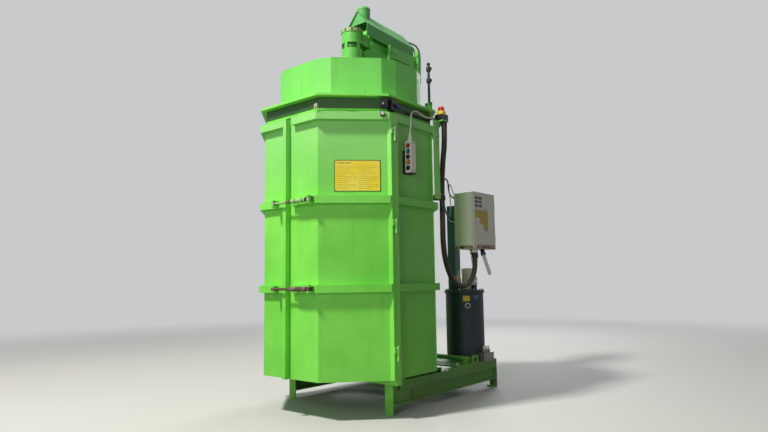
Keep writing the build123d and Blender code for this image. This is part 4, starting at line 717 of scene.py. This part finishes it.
turned([(8.5, 8), (10.5, 9.5), (10.5, 17), (8.5, 18.5)], striker, slantOut)
piece("switchRoller", whitePlastic, "door_right")
for y in (lowY + 8, highY - 8):
    for z in (lowZ + 8, highZ - 8):
        dome(at(faceX, y, z), east, 3, 1.4)
dome(knob + 12 * mm * slantOut, slantOut, 5, 3)
piece("switchScrews", zincSteel)
halfLength, halfHeight = doorSwitch.coverHalf
for proud, shareU, shareV, depth in ((0, 1, 1, 10), (10, 0.82, 0.7, 3)):
    oval = [(shareU * halfLength * u, shareV * halfHeight * v) for u, v in circle(1, 32)]
    extruded(oval, at(faceX + proud, *doorSwitch.cover), east, doorSwitch.coverLine, depth)
piece("ovalCover", bluePlastic, sharpAngle=50)

signalCable = Look(
    radius=3.5,
    route=((533, -127, 1813), (533, -105, 1806), (530, -70, 1800), (526, -10, 1797), (525, 70, 1795),
           (526, 150, 1794), (532, 205, 1799), (553, 232, 1812), (553, 247, 1812)),
    clipsAt=(-20, 70, 160),
)
sleeve(routeOf([at(*spot) for spot in signalCable.route])[0], signalCable.radius, 10)
piece("switchCable", cableBlack, sharpAngle=60)
for y in signalCable.clipsAt:
    block(at(515.5, y - 4, 1789), at(531, y + 4, 1801.5), 1)
piece("cableClips", blackPlastic)

pendant = Look(x=547.65, front=-60, rear=-15, left=525.3, right=570, bottom=1420, top=1615,
               buttonTop=1586, pitch=34, count=5)
x, left, right, front, rear = pendant.x, pendant.left, pendant.right, pendant.front, pendant.rear
bottom, top, middleY = pendant.bottom, pendant.top, (front + rear) / 2
for i in range(pendant.count):
    turned([(10.8, 0), (14.8, 0), (14.8, 1.6), (12.8, 3), (10.8, 3)],
           at(x, front, pendant.buttonTop - pendant.pitch * i), (0, -1, 0), 32, True)
piece("pendantBezels", blackPlastic)
block(at(left + 4, front - 0.7, bottom + 8), at(right - 4, front + 0.5, top - 8), 0.6)
piece("pendantFace", cabinetGrey)
block(at(left, middleY - 0.8, bottom + 5), at(right + 0.2, middleY + 0.8, top - 5), 0.3)
for z in (bottom + 14, top - 14):
    for y in (middleY + 12, middleY - 12):
        turned([(3.2, 0), (3.2, 0.4)], at(right, y, z), east, 16)
piece("pendantSeal", blackPlastic)
turned([(14.5, 0), (14.5, 8), (12.5, 10)], at(x, middleY, top + 1), up, 6)
turned([(11.5, 0), (10.5, 12), (8.5, 24), (6.2, 38), (5.6, 42)], at(x, middleY, top + 10), up, 24)
piece("pendantGland", creamPlastic)

stop = Look(x=565, y=280, base=1840, top=1896, screwsOut=27, guard=(1320, 1500, 1700, 1775))
turned([(28.8, 0), (32.5, 0), (32.5, 1.5), (30.5, 4), (28.8, 4.2)], at(stop.x, stop.y, stop.base), up, 40, True)
piece("stopCollar", yellowPlastic)
for i in range(3):
    corner = at(stop.x, stop.y, stop.top - 0.2) + mm * (
        Matrix.Rotation(math.radians(120 * i + 20), 4, "Z") @ Vector((5, -0.9, 0)))
    block(corner, corner + mm * Vector((6, 1.8, 0.4)), 0.2)
piece("stopMarks", whitePlastic, "stop_button")
for z in stop.guard:
    for y in (208, 254):
        hexBolt(at(556, y, z), east, 10, 5)
for side in hands:
    for end in hands:
        dome(at(stop.x + side * stop.screwsOut, stop.y + end * stop.screwsOut, stop.base), up, 3, 1.5)
piece("guardScrews", zincSteel)

heldAt, wallAt = at(500, 360, 1314), at(443.5, 303.5, 1314)
turned([(21.5, -16), (22.5, -14), (22.5, 14), (21.5, 16)], heldAt, up, 32)
extruded(oblong(-16, -20, 16, 20), wallAt, heldAt - wallAt, up, 62)
piece("conduitClamp", blackPlastic)
for end, girth, sides in ((0, 0.81, 32), (-1, 1.0, 6)):
    spot = at(*cords["conduitHose"]["route"][end])
    turned([(girth * radius, z) for radius, z in ((23.5, 0), (24.5, 2), (24.5, 14), (22.5, 17))], spot, down, sides)
    turned([(girth * radius, z) for radius, z in ((23.8, 16), (23.8, 30), (23.1, 36))], spot, down, 32)
piece("conduitGlands", blackPlastic)
print("control pieces made")


# arm and head: pin heads, keeper plates, bolts through the cheeks, hose fittings, weld beads
arm = Look(pins=((575, 2500), (575, 2415)), headPin=(175, 2415), forkOut=85, cheekOut=117, linkOut=70.8)
head = Look(y=45, finWeld=(7, 118, 2200, 2370), flangeWeld=(62.5, 82, 2396, 2466), ringRadius=73.2)
mast = Look(half=73.5, front=600, rear=672)
lift = Look(foot=(0, 650, 1620), lug=(0, 485, 2338), rings=(524, 550), ports=(85, 475))
pole = Look(x=459, y=298, clamps=(2086, 2166))
baseBolts = (((-412, 412), (620, 900, 1060), 24, 12), ((-98, 98), (612, 690), 19, 10), ((100, 152), (1012,), 13, 8))

for hand in hands:
    y, z = arm.headPin
    turned([(19, 0), (19, 4), (17, 6), (8, 6.5)], at(hand * arm.linkOut, y, z), (hand, 0, 0), 32)
    bead([at(hand * (arm.linkOut + 8.5), y + side, z) for side in (-12, 12)], 2.2, 0, 3.9, 10)
piece("headPinHeads", armGreen, "head")
for hand in hands:
    for y, z in arm.pins:
        x = hand * arm.forkOut
        turned([(18, 0), (18, 4), (15, 6)], at(x, y, z), (hand, 0, 0), 32)
        block(at(x + hand * 6 - 2, y + 8, z - 8), at(x + hand * 6 + 2, y + 28, z + 8), 0.6)
piece("mastPinHeads", zincSteel)
for hand in hands:
    for z in (2275, 2325, 2375):
        hexBolt(at(hand * arm.cheekOut, 650, z), (hand, 0, 0), 24, 11)
    for z in (2270, 2330, 2390, 2450):
        hexBolt(at(hand * 128, 620, z), (0, -1, 0), 13, 7)
    for y in (330, 372):
        hexBolt(at(hand * arm.cheekOut, y, 2400), (hand, 0, 0), 19, 9)
piece("cheekBolts", armGreen)

for hand in hands:
    x = hand * mast.half
    bead([at(x, mast.rear, z) for z in (2252, 2368)], 3.5, 0.2, 6)
    bead([at(x, mast.front, 2252), at(x, mast.rear, 2249)], 3.5, 0.2, 6)
    bead([at(hand * 74, y, 202) for y in (602, 700)], 4, 0.2, 7)
bead([at(x, 701, 202) for x in (-73, 73)], 4, 0.2, 7)
for z in (2100, 2140):
    bead([at(x, 700.5, z) for x in (-40, 40)], 3, 0.2, 6)
piece("mastWelds", armGreen)
for hand in hands:
    for x, y, low, high in (head.finWeld, head.flangeWeld):
        bead([at(hand * x, y, z) for z in (low, high)], 3, 0.2, 6)
ring = [at(u, head.y + v, 2469.2) for u, v in circle(head.ringRadius, 40)]
bead(ring + ring[:1], 2.8, 0.2, 6)
piece("headWelds", armGreen, "head")
turned([(61, 0), (61, 52)], at(0, head.y, 2392), up, 48)
turned([(73.5, 0), (74.2, 2), (74.2, 10), (73.5, 12)], at(0, head.y, 1981), up, 64)
piece("headCollars", shadeGreen, "head")

for hand in hands:
    x, y, z = armHoses.route[-1]
    low = at(hand * x, y, z)
    hexBolt(low, up, 24, 11, False)
    turned([(9.8, 11), (10.5, 13), (10.5, 34), (8.8, 37)], low, up, 24)
piece("hoseEndsMast", zincSteel)
for hand in hands:
    x, y, z = armHoses.route[0]
    high = at(hand * x, y, z)
    hexBolt(high, (0, 1, 0), 21, 10, False)
    turned([(9.2, 10), (9.8, 12), (9.8, 28), (8.4, 31)], high, (0, 1, 0), 24)
piece("hoseEndsRoof", zincSteel, "arm")
turned([(46.8, 0), (48, 1.5), (48, 7), (46.8, 8.5)], at(0, 168, 2684), up, 48)
piece("capBand", armGreen, "arm")

foot, lug = at(*lift.foot), at(*lift.lug)
axis = (lug - foot).normalized()
for reach in lift.rings:
    turned([(44.6, 0), (45.6, 1), (45.6, 5), (44.6, 6)], foot + axis * reach * mm, axis, 48)
for reach in lift.ports:
    hexBolt(foot + (axis * reach + east * 38.5) * mm, east, 22, 10, False)
piece("cylinderFittings", zincSteel, "cylinder")
hexBolt(lug - axis * 55 * mm, axis, 46, 14, False)
for hand in hands:
    turned([(16, 0), (16, 3), (13, 4.5)], lug + east * hand * 22.5 * mm, (hand, 0, 0))
piece("rodFittings", zincSteel, "rod")

for columns, ranks, across, height in baseBolts:
    for x in columns:
        for y in ranks:
            hexBolt(at(x, y, 200), up, across, height)
piece("baseBolts", zincSteel)
x, y = pole.x, pole.y
turned([(16.5, 0), (17.5, 2), (17.5, 66), (16, 69)], at(x, y, 1877), up, 32)
piece("poleSocket", armGreen)
turned([(8.6, 0), (8.6, 268)], at(x, y, 1946), up, 24)
for z in pole.clamps:
    turned([(14.8, -1), (15.8, 3), (15.8, 25), (14.8, 29)], at(x, y, z))
    block(at(x + 10, y - 6, z + 6), at(x + 24, y + 6, z + 22), 2)
turned([(10, 0), (12, 3), (12, 12), (7, 18)], at(x, y, 2206), up, 24)
piece("poleClamps", blackPlastic)
print("arm, head and mast pieces made")


# switch cabinet: thin films whose paint breaks off in flakes, lock ring, screws and glands
def flaking(name, colour, share, scale, low, high):
    # colour where the noise still holds it, bare elsewhere and toward both ends of its height
    p, colour = Paint(name), tint(colour)
    fine = p.cloud(scale * 6, 3, 0.6)
    shown = (p.cloud(scale, 5, 0.7) + 0.25 * fine).ramp(0.66 - 0.3 * share, 0.74 - 0.3 * share)
    soft = 0.25 * (high - low)
    shown = shown * ((p.z - low).ramp(0.0, soft) * (high - p.z).ramp(0.0, soft))
    return p.surface(p.mix(fine.ramp(0.3, 0.7), colour, scaled(colour, 0.75)), 0.55, Alpha=shown)


cabinet = Look(
    doorFace=499, front=757, rear=1048, left=335, right=480, bottom=995, lock=(800, 1200),
    cellsFrom=(768, 1288), cellPitch=(52, 28),
    film=((0, 103), (20, 94), (52, 90), (70, 62), (110, 50), (118, 4), (150, 0), (172, 20), (176, 172), (0, 172)),
    filmFrom=(772, 1112),
)
rust = "86542c"
face, low = cabinet.doorFace, cabinet.bottom + 1
extruded(cabinet.film, at(face - 0.5, *cabinet.filmFrom), east, (0, 1, 0), 0.8)
piece("cabinetFilm", flaking("old yellow film", "ceb042", 0.62, 30.0, 1.112, 1.284), "cabinet_lid")
(y0, z0), (stepY, stepZ) = cabinet.cellsFrom, cabinet.cellPitch
for y in (y0, y0 + stepY):
    for z in (z0, z0 + stepZ, z0 + 2 * stepZ):
        block(at(face - 0.5, y + 4, z + 4), at(face + 0.7, y + stepY - 4, z + stepZ - 5), 0.4)
piece("cabinetCells", moulded("dark green film", "0c1814", "2c3830", 0.4), "cabinet_lid")
block(at(face - 1, cabinet.front + 2, low), at(face + 0.2, cabinet.rear - 3, low + 33), 0.1)
piece("cabinetDoorRust", flaking("rust bloom, door", rust, 0.42, 26.0, 0.972, 1.029), "cabinet_lid")
block(at(cabinet.left + 3, cabinet.front - 0.25, low), at(cabinet.right - 1, cabinet.front + 1, low + 25), 0.1)
piece("cabinetBodyRust", flaking("rust bloom, body", rust, 0.36, 26.0, 0.972, 1.021), "frame")
turned([(15.5, 0), (15.5, 1), (13.5, 2)], at(face, *cabinet.lock), east, 32)
piece("lockRing", zincSteel, "cabinet_lid")
for z in (1060, 1325):
    for x in (190, 300):
        hexBolt(at(x, 1034, z), up, 13, 6)
for z in (1068, 1303):
    for x in (468, 474):
        dome(at(x, 1061, z), (0, 1, 0), 2.8, 1.2)
piece("cabinetScrews", zincSteel)
for y in (910, 960):
    spot = at(375, y, cabinet.bottom)
    hexBolt(spot, down, 26, 8, False)
    turned([(11.2, 22), (10, 30), (6, 36)], spot, down, 24)
for z in (1372, 1214):
    turned([(12, 0), (12, 8), (9.5, 16), (6, 20)], at(cabinet.left, 775, z), (-1, 0, 0), 20)
piece("cabinetGlands", blackPlastic)
print("cabinet pieces made")


# hydraulic unit: bare labels, sight glass, lid fittings, pump motor trim, valve fittings
tank = Look(x=284, y=940, radius=138, glass=(-49, 592), lidBolts=8, firstBolt=17.1887)
stubs = ((230, 890, 50), (258, 890, 40), (230, 930, 60), (258, 930, 35))
motor = Look(place=(325, 935, 704), slots=12, slotsOut=26, cowl=156.2)
valve = Look(x=453, front=875, rear=1010, top=270, portZ=228)


def roundTank(radius, degrees, z):
    angle = math.radians(degrees)
    return at(tank.x + radius * math.cos(angle), tank.y + radius * math.sin(angle), z)


def curvedPlate(first, last, low, high, steps=10):
    # a thin plate bent round the tank between two azimuths
    outer, inner = tank.radius + 0.6, tank.radius - 1
    skinned([[roundTank(radius, first + (last - first) * i / steps, z)
              for radius, z in ((outer, low), (outer, high), (inner, high), (inner, low))] for i in range(steps + 1)])


curvedPlate(-62, -42, 623, 662)
piece("tankLabel", yellowPlastic)
curvedPlate(-28, -10, 637, 665)
piece("tankPlate", moulded("slate film", "466078", "707674", 0.4), "frame")
azimuth, z = tank.glass
glassSpot = roundTank(tank.radius - 1, azimuth, z)
glassOut = glassSpot - at(tank.x, tank.y, z)
turned([(20, 0), (20, 5), (18.5, 7), (13.5, 7), (12.5, 4)], glassSpot, glassOut, 40)
piece("sightRing", zincSteel)
turned([(12.2, 0), (12.2, 5.2), (9, 6.2)], glassSpot, glassOut, 32)
piece("sightGlass", moulded("dark sight glass", "1e1810", "463e32", 0.12), "frame")
for i in range(tank.lidBolts):
    hexBolt(roundTank(137, 360 * i / tank.lidBolts + tank.firstBolt, 703.5), up, 10, 6)
piece("lidBolts", zincSteel)
bead([roundTank(146.5, 7.5 * i, 690) for i in range(49)], 2.2, 0, 100)
piece("lidGasket", rustyLatch)
turned([(16.5, 0), (22.5, 4), (23.5, 18), (20.5, 26), (11, 31)], at(392, 905, 736), up, 36)
piece("fillerCap", whitePlastic)
for x, y, reach in stubs:
    hexBolt(at(x, y, 749), up, 20, 10, False)
    turned([(7.5, 10), (7.5, reach), (6, reach + 3)], at(x, y, 749), up, 20)
piece("blockStubs", brass)
turned([(6.5, 0), (6.5, 142), (4.5, 146)], at(289, 868, 704), up, 20)
piece("levelRod", whitePlastic)
motorPlace = at(*motor.place)
turned([(49.6, 0), (50.2, 3), (50.2, 15), (49.6, 18)], motorPlace, up, 48)
block(at(352, 905, 742), at(384, 965, 800), 4)
piece("motorTrim", cabinetGrey)
for i in range(motor.slots):
    turn = Matrix.Rotation(2 * math.pi * i / motor.slots, 4, "Z")
    middle = motorPlace + turn @ Vector((motor.slotsOut, 0, motor.cowl)) * mm
    block(middle - Vector((10, 1.6, 1.2)) * mm, middle + Vector((10, 1.6, 0.2)) * mm, 0.3, turn)
piece("motorSlots", blackPlastic)
for share in (0.25, 0.5, 0.75):
    y = valve.front + share * (valve.rear - valve.front)
    top = at(valve.x, y, valve.top)
    hexBolt(top, up, 18, 10, False)
    turned([(6.8, 10), (6.8, 30), (5, 33)], top, up, 20)
    turned([(7.5, 0), (8.5, 2), (8.5, 8), (7, 10)], at(valve.x + 25, y, valve.portZ), east, 20)
piece("valveFittings", zincSteel)
plugPlace, hanging = at(466, 905, 996), Vector((0.42, -0.24, -1)).normalized()
turned([(11, 0), (15, 6), (16, 30), (19, 34), (19, 46), (15, 52)], plugPlace, hanging, 32)
piece("hangingPlug", bluePlastic)
start = plugPlace + hanging * 50 * mm
run = at(538, 884, 812) - start
reach = run.length / mm
turned([(10, 0), (12.5, 20), (12.5, reach - 12), (10, reach)], start, run)
piece("plugSleeve", whitePlastic)
for cordName in ("motorCable", "loopBlack", "loopPale"):
    layCord(cordName, cords[cordName])
print("hydraulic pieces and thin cables made")


# floor, light and surroundings
studio = Look(
    floorSize=14.0, floorTint=tint("cecdc8"), floorBounce=tint("969591"), floorFade=(3.2, 9.0),
    skyTint=tint("d6d8da"), skyStrength=0.10, backdropStrength=0.86,
    middle=at(0, 0, 1300),
    # place, size, watts, colour
    lamps={
        "keyLamp": ((-1.0, -4.8, 7.4), (0.8, 0.8), 720.0, (1.0, 0.98, 0.94)),
        "fillLamp": ((2.3, -6.0, 2.4), (1.2, 2.6), 80.0, (0.95, 0.97, 1.0)),
        "backLamp": ((-2.2, 6.0, 3.6), (3.0, 2.4), 170.0, (0.95, 0.97, 1.0)),
        "topLamp": ((0.6, 1.0, 6.0), (3.6, 3.6), 30.0, (1.0, 1.0, 1.0)),
    },
)

# the floor is pale to the eye, darker to the light that it throws back, and lost in the backdrop far out
p = Paint("studio floor")
seen = p.node("LightPath", out="Is Camera Ray")
near = p.shader(p.mix(seen, studio.floorBounce, studio.floorTint), 0.7 + 0.1 * p.cloud(1.2, 3, 0.5),
                Normal=p.relief(p.cloud(60.0, 3), 0.0004, 0.2))
far = p.node("Emission", {"Color": studio.skyTint, "Strength": studio.backdropStrength})
away = (p.x * p.x + p.y * p.y) ** 0.5
size = studio.floorSize
mesh = bpy.data.meshes.new("studioFloor")
mesh.from_pydata([(x, y, 0) for x, y in oblong(-size, -size, size, size)], [], [range(4)])
mesh.materials.append(p.end(p.node("MixShader", {0: seen * away.ramp(*studio.floorFade), 1: near, 2: far})))
placed("studioFloor", mesh)

# a weak even sky for the light, and a plain backdrop for the eye and for mirrors
sky = Nodes(bpy.data.worlds.new("studio"), "World")
lit, shown = (sky.node("Background", {"Color": studio.skyTint, "Strength": studio[strength]})
              for strength in ("skyStrength", "backdropStrength"))
eye, glossy, through = (sky.node("LightPath", out=f"Is {kind} Ray") for kind in ("Camera", "Glossy", "Transmission"))
direct = eye.maths("MAXIMUM", eye, glossy)
direct = direct.maths("MAXIMUM", direct, through)
bpy.context.scene.world = sky.end(sky.node("MixShader", {0: direct, 1: lit, 2: shown}))

for name, (place, size, watts, colour) in studio.lamps.items():
    light = bpy.data.lights.new(name, "AREA")
    light.shape = "RECTANGLE"
    light.size, light.size_y = size
    light.energy = watts
    light.color = colour
    lamp = placed(name, light)
    lamp.location = place
    lamp.rotation_mode = "QUATERNION"
    lamp.rotation_quaternion = (studio.middle - Vector(place)).to_track_quat("-Z", "Y")
bpy.context.scene.view_settings.view_transform = "Standard"
print("floor and lamps set")
